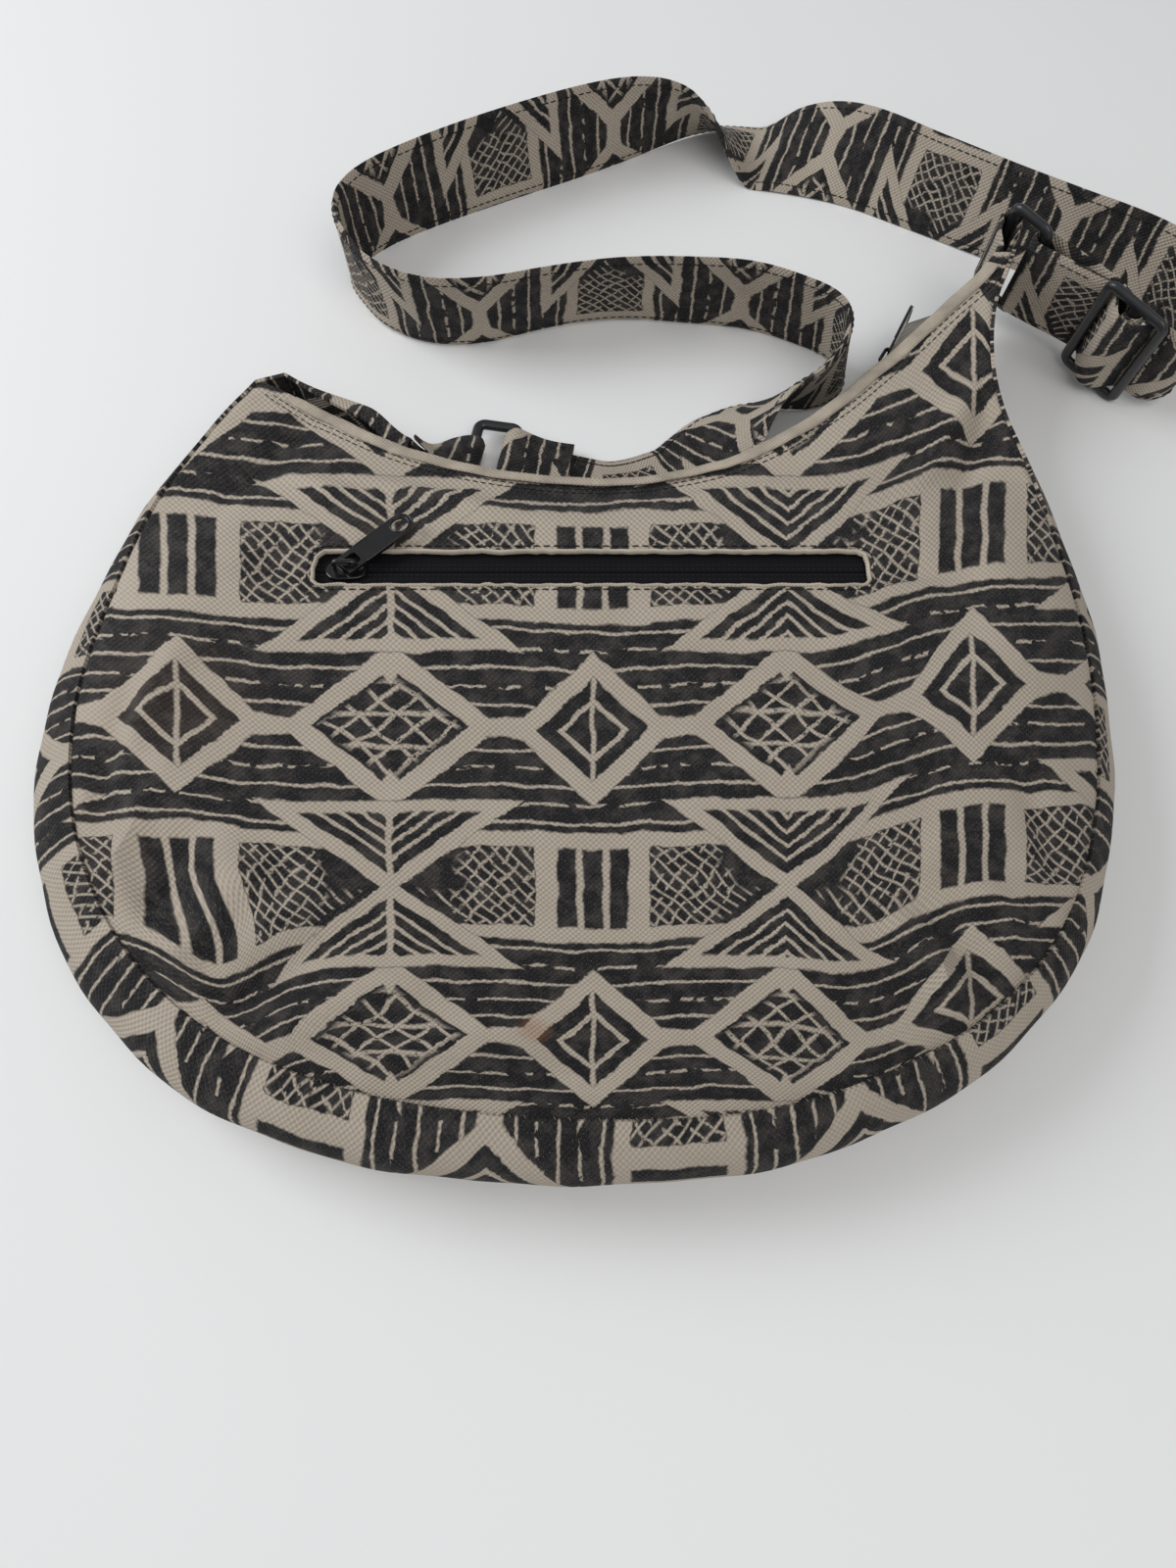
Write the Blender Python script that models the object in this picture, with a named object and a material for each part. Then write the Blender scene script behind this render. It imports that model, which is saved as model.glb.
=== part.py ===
"""Crossbody satchel of printed canvas, lying on its back.

Metres, +Z up. The back panel rests on the table, the mouth looks towards +Y and the
zip pocket faces up. The origin is the middle of the flat back panel, on its outside.
"""

import math

import bmesh
import bpy
import numpy as np
from mathutils import Matrix, Vector

MM = 0.001

# Body
BODY_WIDTH = 321 * MM  # seam to seam across the front panel
BODY_LENGTH = 219 * MM  # bottom seam to the low point of the mouth
MOUTH_Y = 109 * MM  # low point of the mouth
CROWN_HEIGHT = 49 * MM  # highest part of the front panel
MOUTH_HEIGHT = 27 * MM  # front edge of the mouth over the table
CLOTH = 1.6 * MM  # canvas with its turnings
GAP = 0.3 * MM  # between pieces that touch
SEAM_SETBACK = 1.0 * MM
EDGE_FALL = 60 * MM  # width of the rounded margin along the seam
BACK_LIFT = 3 * MM  # back seam over the table
BACK_MARGIN = 26 * MM  # the back panel lifts off the table within this margin

# Outlines as shares of BODY_WIDTH and BODY_LENGTH, from the low point of the mouth
LEFT_BAND_XY = [(-0.196, 0.112), (-0.244, 0.14), (-0.3, 0.178), (-0.345, 0.215)]
SEAM_XY = [
    (-0.378, 0.2), (-0.417, 0.1), (-0.465, -0.068), (-0.49, -0.26), (-0.498, -0.429),
    (-0.474, -0.612), (-0.414, -0.772), (-0.324, -0.89), (-0.212, -0.959),
    (-0.093, -0.991), (0.025, -1.0), (0.14, -0.989), (0.249, -0.945), (0.352, -0.863),
    (0.43, -0.74), (0.474, -0.589), (0.495, -0.429), (0.502, -0.269), (0.495, -0.123),
    (0.48, 0.014), (0.462, 0.118), (0.456, 0.215), (0.464, 0.32), (0.49, 0.42),
]
MOUTH_XY = [
    (-0.352, 0.185), (-0.274, 0.114), (-0.193, 0.055), (-0.106, 0.018), (0.0, 0.0),
    (0.087, 0.012), (0.174, 0.055), (0.265, 0.142), (0.336, 0.237), (0.402, 0.324),
    (0.446, 0.372), (0.466, 0.408),
]
# Heights along the seam, from the left crease to the right tip, as (share, height)
SEAM_TOP = [(0, 28), (0.1, 31), (0.25, 36), (0.5, 37), (0.75, 33), (0.86, 29), (0.93, 34), (1, 46)]
SEAM_FOOT = [(0, 2.6), (0.1, 3), (0.75, 3), (0.9, 3.4), (1, 10)]
BULGE = [(0, 1.5), (0.08, 8), (0.25, 17), (0.5, 14), (0.72, 9), (0.85, 7), (0.92, 3), (1, 1)]
MOUTH_TOP = [(0, 27), (0.1, 27), (0.72, 27), (0.86, 30), (0.94, 37), (1, 44)]
# Height of the front panel along its middle, as (y, height)
CROWN_Y = [(-110, 45), (-70, 48.4), (-20, 49), (20, 47.6), (44, 44.9), (77, 39.1), (95, 34), (109, 29)]

# Left horn: a band folded over behind the mouth
BAND_LIP = 6 * MM
BAND_FOOT = 2.6 * MM
BAND_TOP = 28 * MM
BAND_UP = (-0.05, -0.5, 0.865)  # lean of the band where it ends
TIP_UP = (-0.014, -0.176, 0.984)  # lean of the gusset at the right tip

# Pocket zip in the front panel
SLOT_LENGTH = 178 * MM
SLOT_HEIGHT = 16 * MM
SLOT_X = 1 * MM
SLOT_Y = 60.5 * MM
WELT_WIDTH = 1.6 * MM
POUCH_DEPTH = 105 * MM  # from the slot towards the bottom
POUCH_OVERHANG = 8 * MM  # past each end of the slot
POUCH_CLOTH = 0.7 * MM
POUCH_ROOM = 6.0 * MM
# Across each wall of the pouch: from the slot as shares of its depth, or past the slot in
# millimetres, and how far the wall bulges, from nought where the walls are sewn together
POUCH_FRONT = [(-0.143, 1), (-0.38, 1), (-0.667, 1), (-0.9, 1), (-0.98, 0.6), (-1.02, 0)]
POUCH_BACK = [
    (-1.02, 0), (-0.98, 0.6), (-0.9, 1), (-0.667, 1), (-0.38, 1), (-0.133, 1), (12, 1),
    (15.4, 0.7), (17, -0.4),
]
TAPE = 0.6 * MM
TAPE_WIDTH = 11.5 * MM
TAPE_TOP = -2.2 * MM  # tape under the outer face of the cloth
TAPE_SPLIT = 1.7 * MM  # room for the slider's post between the tapes
COIL_WIDTH = 2.2 * MM
COIL_HEIGHT = 1.3 * MM
COIL_TOP = TAPE_TOP - TAPE - GAP
STOP_LENGTH = 2.4 * MM

# Slider and pull tab, the same on both zips
SLIDER_LENGTH = 12.8 * MM
SLIDER_WIDTH = 8.6 * MM
SLIDER_PLATE = 1.2 * MM
POST_WIDTH = 1.0 * MM
BAIL_WIRE = 1.4 * MM
BAIL_HEIGHT = 4.2 * MM
BAIL_SPAN = 8.4 * MM
PULL_LENGTH = 27 * MM  # hinge to the middle of the round end
PULL_WIDTH = 8.6 * MM
PULL_THICK = 1.4 * MM
PULL_WALL = 1.2 * MM
PULL_HOLE = 5.4 * MM
PULL_YAW = 42.0
PULL_LIFT = 8.0
SLIDER_FROM_END = 10.3 * MM  # slider to the left end of the slot, zip closed
POCKET_SLIDER_X = SLIDER_FROM_END - SLOT_LENGTH / 2

# Mouth zip, on a round arc about an upright axis
MOUTH_ZIP_HALF = 0.39246 * BODY_WIDTH  # low point of the zip to its right end, across
MOUTH_ZIP_RISE = 0.36647 * BODY_LENGTH  # the same, towards the horn
MOUTH_ZIP_INSET = 3 * MM  # low point of the zip to that of the front edge
MOUTH_RADIUS = (MOUTH_ZIP_HALF**2 + MOUTH_ZIP_RISE**2) / (2 * MOUTH_ZIP_RISE)
MOUTH_CENTRE = (-0.015576 * BODY_WIDTH, MOUTH_Y - MOUTH_ZIP_INSET + MOUTH_RADIUS)
MOUTH_FOOT_INSET = 10 * MM
MOUTH_FOOT_RADIUS = MOUTH_RADIUS + MOUTH_FOOT_INSET
MOUTH_ZIP_HEIGHT = 15.5 * MM
MOUTH_END = math.degrees(math.asin(MOUTH_ZIP_HALF / MOUTH_RADIUS))
MOUTH_START = -0.7077 * MOUTH_END
MOUTH_SLIDER_BACK = 12.13 * MM  # along the arc, slider to the end of the zip
MOUTH_SLIDER_ANGLE = MOUTH_END - math.degrees(MOUTH_SLIDER_BACK / MOUTH_RADIUS)
MOUTH_PULL_LIFT = 3.7
FACING_CLOTH = 1.0 * MM
FACING_EDGE = 4.6 * MM  # from the middle of the zip to the edge of a facing
MOUTH_TAPE_WIDTH = 5.2 * MM

# Lining
LINING_DROP = 10.8 * MM  # under the front panel, leaving room for the pouch
LINING_INSET = 12 * MM
LINING_FLOOR = 4.8 * MM  # clears the back panel where it lifts off the table
LINING_CLOTH = 0.8 * MM

# Rings, adjuster and strap
STRAP_WIDTH = 38 * MM
STRAP_THICK = 2.2 * MM
STRAP_LIFT = 0.25 * MM
BAR = 3.4 * MM
BAR_ROOM = 1.0 * MM  # beside each edge of the strap
RING_REACH = 12 * MM  # between the two long bars of a ring
LOOP_SLACK = 0.85 * MM
ADJUSTER_PITCH = 12.3 * MM
ADJUSTER_DISTANCE = 42 * MM
TAB_THICK = 1.8 * MM
TAB_WIDTH = 34 * MM
LEFT_TAB_WIDTH = 27 * MM

# Bars that hold the strap, placed like the outlines above
RIGHT_BAR = (0.523364 * BODY_WIDTH, MOUTH_Y + 0.43379 * BODY_LENGTH, 29.6 * MM)
RIGHT_UP = TIP_UP
RIGHT_OUT = (0.675, -0.728, -0.12)
LEFT_BAR = (-0.093458 * BODY_WIDTH, MOUTH_Y + 0.086758 * BODY_LENGTH, 5.45 * MM)
LEFT_UP = (-0.17, -0.985, 0.0)
LEFT_OUT = (0.985, -0.17, 0.0)
TAIL = 16 * MM  # sewn end of the strap past the left bar

# Strap from the left ring to the adjuster: outline shares, lean in degrees from upright,
# lift in millimetres
STRAP_ROUTE = [
    (-0.0436, 0.0648, -90, 0), (0.0125, 0.0438, -90, 0), (0.0530, 0.0475, -90, 0),
    (0.1153, 0.0868, -86, 0), (0.1607, 0.1598, -66, 0), (0.2075, 0.2037, -40, 0),
    (0.2636, 0.2260, -18, 0), (0.2938, 0.2667, 0, 0), (0.3069, 0.3105, 6, 0),
    (0.2960, 0.3562, 8, 0), (0.2617, 0.3927, 8, 0), (0.1994, 0.4315, 8, 0),
    (0.1246, 0.4452, 9, 0), (0.0374, 0.4498, 12, 0), (-0.0467, 0.4292, 12, 0),
    (-0.1246, 0.3973, 9, 0), (-0.1931, 0.3973, 8, 0), (-0.2492, 0.4338, 6, 0),
    (-0.2835, 0.4932, 4, 0), (-0.3053, 0.5708, 2, 0), (-0.2835, 0.6393, 6, 0),
    (-0.2274, 0.7032, 8, 0), (-0.1308, 0.7808, 10, 0), (-0.0156, 0.8584, 8, 0),
    (0.0685, 0.9041, -4, 0), (0.1433, 0.9224, -32, 0), (0.2056, 0.9087, -76, 0),
    (0.2741, 0.8721, -118, 0), (0.3520, 0.8082, -148, 0), (0.4299, 0.7306, -160, 0),
    (0.5109, 0.6530, -165, 0), (0.5919, 0.5845, -169, 0), (0.6636, 0.5251, -171, 0),
    (0.7227, 0.4521, -170, 0), (0.7445, 0.3881, -167, 1), (0.7368, 0.3311, -163, 3),
    (0.7134, 0.2831, -161, 5),
]

COLUMNS = 48  # stations along the seam, shared by every sheet that meets there

COLOURS = {
    "canvas": ((0.21, 0.195, 0.18), 0.9, 0.0),
    "lining": ((0.03, 0.03, 0.032), 0.85, 0.0),
    "tape": ((0.012, 0.012, 0.014), 0.75, 0.0),
    "coil": ((0.014, 0.014, 0.016), 0.4, 0.0),
    "metal": ((0.012, 0.012, 0.013), 0.3, 0.85),
    "plastic": ((0.016, 0.018, 0.02), 0.45, 0.0),
}


def remove_scene_objects():
    for item in list(bpy.data.objects):
        bpy.data.objects.remove(item, do_unlink=True)


def material(name, look):
    colour, roughness, metallic = COLOURS[look]
    made = bpy.data.materials.new(name)
    made.use_nodes = True
    shader = made.node_tree.nodes["Principled BSDF"]
    shader.inputs["Base Color"].default_value = (*colour, 1.0)
    shader.inputs["Roughness"].default_value = roughness
    shader.inputs["Metallic"].default_value = metallic
    return made


def smooth_curve(points, count):
    """Points evenly spaced along a Catmull-Rom curve through the given ones."""
    pts = np.asarray(points, float)
    ends = np.vstack([2 * pts[0] - pts[1], pts, 2 * pts[-1] - pts[-2]])
    dense = []
    for i in range(1, len(ends) - 2):
        p0, p1, p2, p3 = ends[i - 1 : i + 3]
        for s in np.linspace(0, 1, 24, endpoint=False):
            dense.append(
                0.5 * (2 * p1 + (p2 - p0) * s + (2 * p0 - 5 * p1 + 4 * p2 - p3) * s * s
                       + (3 * p1 - p0 - 3 * p2 + p3) * s**3)
            )
    dense.append(ends[-2])
    dense = np.array(dense)
    steps = np.linalg.norm(np.diff(dense[:, :3], axis=0), axis=1)
    along = np.concatenate([[0], np.cumsum(steps)])
    wanted = np.linspace(0, along[-1], count)
    return np.stack([np.interp(wanted, along, dense[:, k]) for k in range(dense.shape[1])], 1)


def smooth_step(x):
    x = np.clip(x, 0.0, 1.0)
    return x * x * (3 - 2 * x)


def along_table(table, shares):
    """A smooth curve through the (share, millimetres) pairs of a table."""
    keys = np.array([k for k, _ in table], float)
    values = np.array([v for _, v in table], float) * MM
    slopes = np.gradient(values, keys)
    shares = np.asarray(shares, float)
    k = np.clip(np.searchsorted(keys, shares, side="right") - 1, 0, len(keys) - 2)
    step = keys[k + 1] - keys[k]
    s = np.clip((shares - keys[k]) / step, 0, 1)
    return (
        (2 * s**3 - 3 * s**2 + 1) * values[k] + (s**3 - 2 * s**2 + s) * step * slopes[k]
        + (3 * s**2 - 2 * s**3) * values[k + 1] + (s**3 - s**2) * step * slopes[k + 1]
    )


def unit(v):
    v = np.asarray(v, float)
    return v / np.maximum(np.linalg.norm(v, axis=-1, keepdims=True), 1e-12)


def body_xy(shares):
    pts = np.asarray(shares, float)
    return pts * (BODY_WIDTH, BODY_LENGTH) + (0.0, MOUTH_Y)


def height_scale():
    return CROWN_HEIGHT / (49 * MM)


def seam(count=COLUMNS):
    """The seam from crease to tip: middle of the gusset, its up and outward directions,
    half its height, and the share of the way."""
    xy = smooth_curve(body_xy(SEAM_XY), count)
    share = np.linspace(0, 1, count)
    top = along_table(SEAM_TOP, share) * height_scale()
    foot = along_table(SEAM_FOOT, share) * BACK_LIFT / (3 * MM)
    heading = unit(np.gradient(xy, axis=0))
    outward = np.column_stack([heading[:, 1], -heading[:, 0], np.zeros(count)])
    tilt = smooth_step((share - 0.9) / 0.1)[:, None]
    up = unit(np.array([0, 0, 1.0]) * (1 - tilt) + np.array(TIP_UP) * tilt)
    middle = np.column_stack([xy, (top + foot) / 2])
    return middle, up, outward, (top - foot) / 2, share


def mouth(count=COLUMNS):
    dense = smooth_curve(body_xy(MOUTH_XY), 400)
    share = np.linspace(0, 1, count)
    # towards the right horn each station sits further back, so that rows cross squarely
    share = share - 0.45 * share * (1 - share) * smooth_step((share - 0.5) / 0.3)
    xy = np.column_stack([np.interp(share, np.linspace(0, 1, 400), dense[:, k]) for k in (0, 1)])
    top = along_table(MOUTH_TOP, share) * MOUTH_HEIGHT / (27 * MM)
    return np.column_stack([xy, top])


def crown(y):
    """Height of the front panel away from its seams."""
    low, high = CROWN_Y[0][0], CROWN_Y[-1][0]
    return along_table(CROWN_Y, np.clip(np.asarray(y, float) / MM, low, high)) * height_scale()


def from_mouth_centre(points):
    """Unit directions away from the axis of the mouth arc, and angles along the arc."""
    away = unit(points[..., :2] - np.array(MOUTH_CENTRE))
    angle = np.degrees(np.arctan2(away[..., 0], -away[..., 1]))
    return away, angle


def back_mouth(count=COLUMNS):
    """Mouth edge of the back panel, which reaches less far than the front edge."""
    edge = mouth(count)
    away, angle = from_mouth_centre(edge)
    radius = np.linalg.norm(edge[:, :2] - np.array(MOUTH_CENTRE), axis=1)
    fade = smooth_step((64 - angle) / 10) * smooth_step((angle + 50) / 10)
    target = radius * (1 - fade) + MOUTH_FOOT_RADIUS * fade
    return np.array(MOUTH_CENTRE) + away * np.maximum(target, radius + 0.5 * MM)[:, None]


def front_at(share_from_mouth, start, end):
    """Height of the front panel at a share of the way from mouth points to seam points."""
    v = share_from_mouth
    span = np.linalg.norm((end - start)[..., :2], axis=-1)
    xyz = start * (1 - v[..., None]) + end * v[..., None]
    rounded = 1 - (1 - np.clip((1 - v) * span / EDGE_FALL, 0, 1)) ** 2.2
    inside = smooth_step(v * span / (28 * MM)) * rounded
    xyz[..., 2] += (crown(xyz[..., 1]) - xyz[..., 2]) * inside
    return xyz


def row_shares(rows, span):
    """Shares of the way to the seam; the last step leaves room for the mitre."""
    last = np.maximum(span / (rows - 1), 2.4 * MM) / span
    steps = np.arange(rows - 1)[:, None] / (rows - 2) * (1 - last)[None]
    return np.vstack([steps, np.ones((1, len(span)))])


def seam_edge(side):
    middle, up, outward, half, _ = seam()
    return middle + up * (side * half)[:, None] - outward * SEAM_SETBACK


def front_grid(rows=13):
    start, end = mouth(), seam_edge(1)
    v = row_shares(rows, np.linalg.norm((end - start)[:, :2], axis=1))
    shape = (rows, COLUMNS, 3)
    return front_at(v, np.broadcast_to(start, shape), np.broadcast_to(end, shape))


def back_grid(rows=9):
    start = np.column_stack([back_mouth(), np.zeros(COLUMNS)])
    end = seam_edge(-1)
    foot = end[:, 2].copy()
    end[:, 2] = 0
    span = np.linalg.norm(end - start, axis=1)[None, :]
    v = row_shares(rows, span[0])
    grid = start[None] * (1 - v[..., None]) + end[None] * v[..., None]
    near = np.minimum((1 - v) * span, v * span)
    grid[..., 2] = foot[None] * (1 - np.clip(near / BACK_MARGIN, 0, 1)) ** 2
    return grid


def grid_normals(grid, towards):
    normals = unit(np.cross(np.gradient(grid, axis=1), np.gradient(grid, axis=0)))
    return normals * np.sign(np.sum(normals * towards))


def mitred(outer, inner, side):
    """Turn the last row's thickness to the mitre between panel and gusset."""
    _, _, outward, _, _ = seam()
    inner[-1] = outer[-1] - outward * CLOTH * 0.9 - np.array([0, 0, side * CLOTH * 0.9])
    return inner


def pull_ends(grid, amount):
    """Shorten a grid a little at its first and last columns."""
    for edge, inside in ((0, 1), (-1, -2)):
        step = grid[:, inside] - grid[:, edge]
        grid[:, edge] += unit(step) * amount
    return grid


def add_object(name, verts, faces, look, origin=(0, 0, 0)):
    mesh = bpy.data.meshes.new(name)
    mesh.from_pydata([tuple(map(float, Vector(v) - Vector(origin))) for v in verts], [], faces)
    bm = bmesh.new()
    bm.from_mesh(mesh)
    bmesh.ops.remove_doubles(bm, verts=bm.verts, dist=0.00002)
    bmesh.ops.triangulate(bm, faces=bm.faces)
    bmesh.ops.recalc_face_normals(bm, faces=bm.faces)
    if bm.calc_volume(signed=True) < 0:
        bmesh.ops.reverse_faces(bm, faces=bm.faces)
    bm.to_mesh(mesh)
    bm.free()
    mesh.shade_smooth()
    mesh.set_sharp_from_angle(angle=math.radians(35))
    made = bpy.data.objects.new(name, mesh)
    made.location = origin
    bpy.context.collection.objects.link(made)
    made.data.materials.append(material(name, look))
    return made


def closed_sheet(name, outer, inner, look):
    """A sheet between two grids of points, closed round its four edges."""
    rows, columns = outer.shape[:2]
    verts = np.vstack([outer.reshape(-1, 3), inner.reshape(-1, 3)])
    half = rows * columns

    def at(i, j, side):
        return side * half + i * columns + j

    faces = []
    for i in range(rows - 1):
        for j in range(columns - 1):
            faces.append((at(i, j, 0), at(i + 1, j, 0), at(i + 1, j + 1, 0), at(i, j + 1, 0)))
            faces.append((at(i, j, 1), at(i, j + 1, 1), at(i + 1, j + 1, 1), at(i + 1, j, 1)))
    for j in range(columns - 1):
        faces.append((at(0, j, 0), at(0, j + 1, 0), at(0, j + 1, 1), at(0, j, 1)))
        last = rows - 1
        faces.append((at(last, j, 0), at(last, j, 1), at(last, j + 1, 1), at(last, j + 1, 0)))
    for i in range(rows - 1):
        faces.append((at(i, 0, 0), at(i, 0, 1), at(i + 1, 0, 1), at(i + 1, 0, 0)))
        last = columns - 1
        faces.append((at(i, last, 0), at(i + 1, last, 0), at(i + 1, last, 1), at(i, last, 1)))
    return add_object(name, verts, faces, look)


def swept_bar(name, frames, section, look, closed=False, origin=(0, 0, 0)):
    """A solid with one section swept along frames of (point, side, up)."""
    count, corners = len(frames), len(section)
    verts = [p + side * a + up * b for p, side, up in frames for a, b in section]
    faces = []
    for i in range(count if closed else count - 1):
        k = (i + 1) % count
        for j in range(corners):
            m = (j + 1) % corners
            faces.append((i * corners + j, k * corners + j, k * corners + m, i * corners + m))
    if not closed:
        faces.append(tuple(range(corners)))
        faces.append(tuple((count - 1) * corners + j for j in reversed(range(corners))))
    return add_object(name, verts, faces, look, origin)


def box_section(width, height):
    x, y = width / 2, height / 2
    return [(-x, -y), (x, -y), (x, y), (-x, y)]


def round_section(diameter, sides=8):
    r = diameter / 2
    turns = [2 * math.pi * (k + 0.5) / sides for k in range(sides)]
    return [(r * math.cos(a), r * math.sin(a)) for a in turns]


def combine(target, other, operation):
    other.hide_render = True
    other.display_type = "WIRE"
    modifier = target.modifiers.new(operation.lower(), "BOOLEAN")
    modifier.operation = operation
    modifier.solver = "EXACT"
    modifier.object = other
    bpy.context.view_layer.update()
    shaped = bpy.data.meshes.new_from_object(target.evaluated_get(bpy.context.evaluated_depsgraph_get()))
    target.modifiers.clear()
    target.data = shaped
    bpy.data.objects.remove(other, do_unlink=True)
    return target


def slot_matrix():
    """Frame of the pocket zip: along the slot, up the slope, out of the panel."""
    low, high = SLOT_Y - SLOT_HEIGHT / 2, SLOT_Y + SLOT_HEIGHT / 2
    z_low, z, z_high = (float(crown(y)) for y in (low, SLOT_Y, high))
    up = Vector((0, high - low, z_high - z_low)).normalized()
    along = Vector((1, 0, 0))
    turn = Matrix((along, up, along.cross(up))).transposed().to_4x4()
    return Matrix.Translation((SLOT_X, SLOT_Y, z)) @ turn


def mouth_matrix(angle):
    """Frame on the mouth arc: along the zip, up the wall, out of the bag."""
    a = math.radians(angle)
    along = Vector((math.cos(a), math.sin(a), 0))
    out = Vector((-math.sin(a), math.cos(a), 0))
    middle = Vector((*MOUTH_CENTRE, MOUTH_ZIP_HEIGHT)) - out * MOUTH_RADIUS
    turn = Matrix((along, Vector((0, 0, 1)), out)).transposed().to_4x4()
    return Matrix.Translation(middle) @ turn


def rounded_outline(length, height, radius, steps=4):
    pts = []
    for cx, cy, start in ((1, 1, 0), (-1, 1, 90), (-1, -1, 180), (1, -1, 270)):
        for k in range(steps + 1):
            a = math.radians(start + 90 * k / steps)
            x = cx * (length / 2 - radius) + radius * math.cos(a)
            y = cy * (height / 2 - radius) + radius * math.sin(a)
            pts.append((x, y))
    return pts


def prism(name, outline, z0, z1, look, place, origin=(0, 0, 0)):
    """An outline in the local plane of a matrix, given a thickness."""
    count = len(outline)
    verts = [place @ Vector((x, y, z)) for z in (z0, z1) for x, y in outline]
    faces = [tuple(reversed(range(count))), tuple(range(count, 2 * count))]
    faces += [(k, (k + 1) % count, count + (k + 1) % count, count + k) for k in range(count)]
    return add_object(name, verts, faces, look, origin)


def rectangle(x0, x1, y0, y1):
    return [(x0, y0), (x1, y0), (x1, y1), (x0, y1)]


def front_panel():
    outer = pull_ends(front_grid(), 1.2 * MM)
    inner = mitred(outer, outer - grid_normals(outer, (0, 0, 1)) * CLOTH, 1)
    panel = closed_sheet("front_panel", outer, inner, "canvas")
    outline = rounded_outline(SLOT_LENGTH, SLOT_HEIGHT, 4 * MM)
    cutter = prism("slot_cutter", outline, -9 * MM, 9 * MM, "canvas", slot_matrix())
    return combine(panel, cutter, "DIFFERENCE")


def back_panel():
    outer = pull_ends(back_grid(), 1.2 * MM)
    inner = mitred(outer, outer + np.array([0, 0, CLOTH]), -1)
    return closed_sheet("back_panel", outer, inner, "canvas")


def gusset_rows(middle, up, outward, half, bulge, lip):
    """Points across the gusset, top to foot, at one station."""
    w = np.linspace(1, -1, 7)
    reach = bulge * (1 - np.abs(w) ** 2.2)
    turned = np.array([-1, -0.45, 0, 0, 0, -0.45, -1]) * lip
    rise = w * half
    flat = np.array([half - 0.3 * MM, half, half - 1.2 * MM, 0, 1.2 * MM - half, -half, 0.3 * MM - half])
    share = min(1.0, lip / BAND_LIP)
    reach = reach * (1 - share) + turned
    rise = rise * (1 - share) + flat * share
    side = unit(outward - up * np.dot(outward, up))
    return middle + reach[:, None] * side + rise[:, None] * up


def gusset():
    band = smooth_curve(body_xy(LEFT_BAND_XY), 10)
    headings = unit(np.gradient(band, axis=0))
    lines = []
    for k, (x, y) in enumerate(band):
        tilt = smooth_step(1 - k / 3.0)
        up = unit(np.array([0, 0, 1.0]) * (1 - tilt) + np.array(BAND_UP) * tilt)
        out = np.array([headings[k, 1], -headings[k, 0], 0.0])
        half = (BAND_TOP - BAND_FOOT) / 2
        middle = np.array([x, y, BAND_FOOT + half])
        lip = BAND_LIP * float(smooth_step(1.15 - k / 8))
        lines.append(gusset_rows(middle, up, out, half, 1.5 * MM, lip))
    middle, up, outward, half, share = seam()
    bulge = along_table(BULGE, share)
    for k in range(COLUMNS):
        lines.append(gusset_rows(middle[k], up[k], outward[k], half[k], bulge[k], 0.0))
    outer = np.array(lines).transpose(1, 0, 2)
    outs = np.vstack([np.column_stack([headings[:, 1], -headings[:, 0], np.zeros(10)]), outward])
    normals = grid_normals(outer, outs[None])
    inner = outer - normals * CLOTH
    for row, side in ((0, 1), (-1, -1)):
        mitre = outer[row] - outs * CLOTH * 0.9 - np.array([0, 0, side * CLOTH * 0.9])
        inner[row, 10:] = mitre[10:]
    return closed_sheet("gusset", outer, inner, "canvas")


def edge_at_angles(points, angles):
    _, along = from_mouth_centre(points)
    return np.column_stack([np.interp(angles, along, points[:, k]) for k in range(3)])


def facings():
    """Turned strips that carry the mouth zip, from the tapes to the panel edges."""
    angles = np.linspace(MOUTH_START, MOUTH_END, 30)
    radial = np.array([[math.sin(math.radians(a)), -math.cos(math.radians(a)), 0] for a in angles])
    centre = np.array([*MOUTH_CENTRE, 0])
    front = edge_at_angles(mouth(200), angles)
    top = front + radial * 0.8 * MM
    top[:, 2] -= CLOTH + 2 * GAP
    low = centre + radial * (MOUTH_RADIUS + 0.4 * MM)
    low[:, 2] = MOUTH_ZIP_HEIGHT + FACING_EDGE
    past_tape = np.array([0, 0, 1.8 * MM])
    outer = np.array([top, low + past_tape, low])
    thick = radial * FACING_CLOTH
    closed_sheet("front_facing", outer, outer + thick, "canvas")
    foot = edge_at_angles(back_grid()[0], angles) + radial * 0.3 * MM
    foot[:, 2] += CLOTH + 2 * GAP
    high = centre + radial * (MOUTH_RADIUS + 0.4 * MM)
    high[:, 2] = MOUTH_ZIP_HEIGHT - FACING_EDGE
    bend = (high + foot) / 2 + radial * 0.8 * MM - past_tape / 2
    outer = np.array([high, high - past_tape, bend, foot])
    closed_sheet("back_facing", outer, outer + thick, "canvas")


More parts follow.
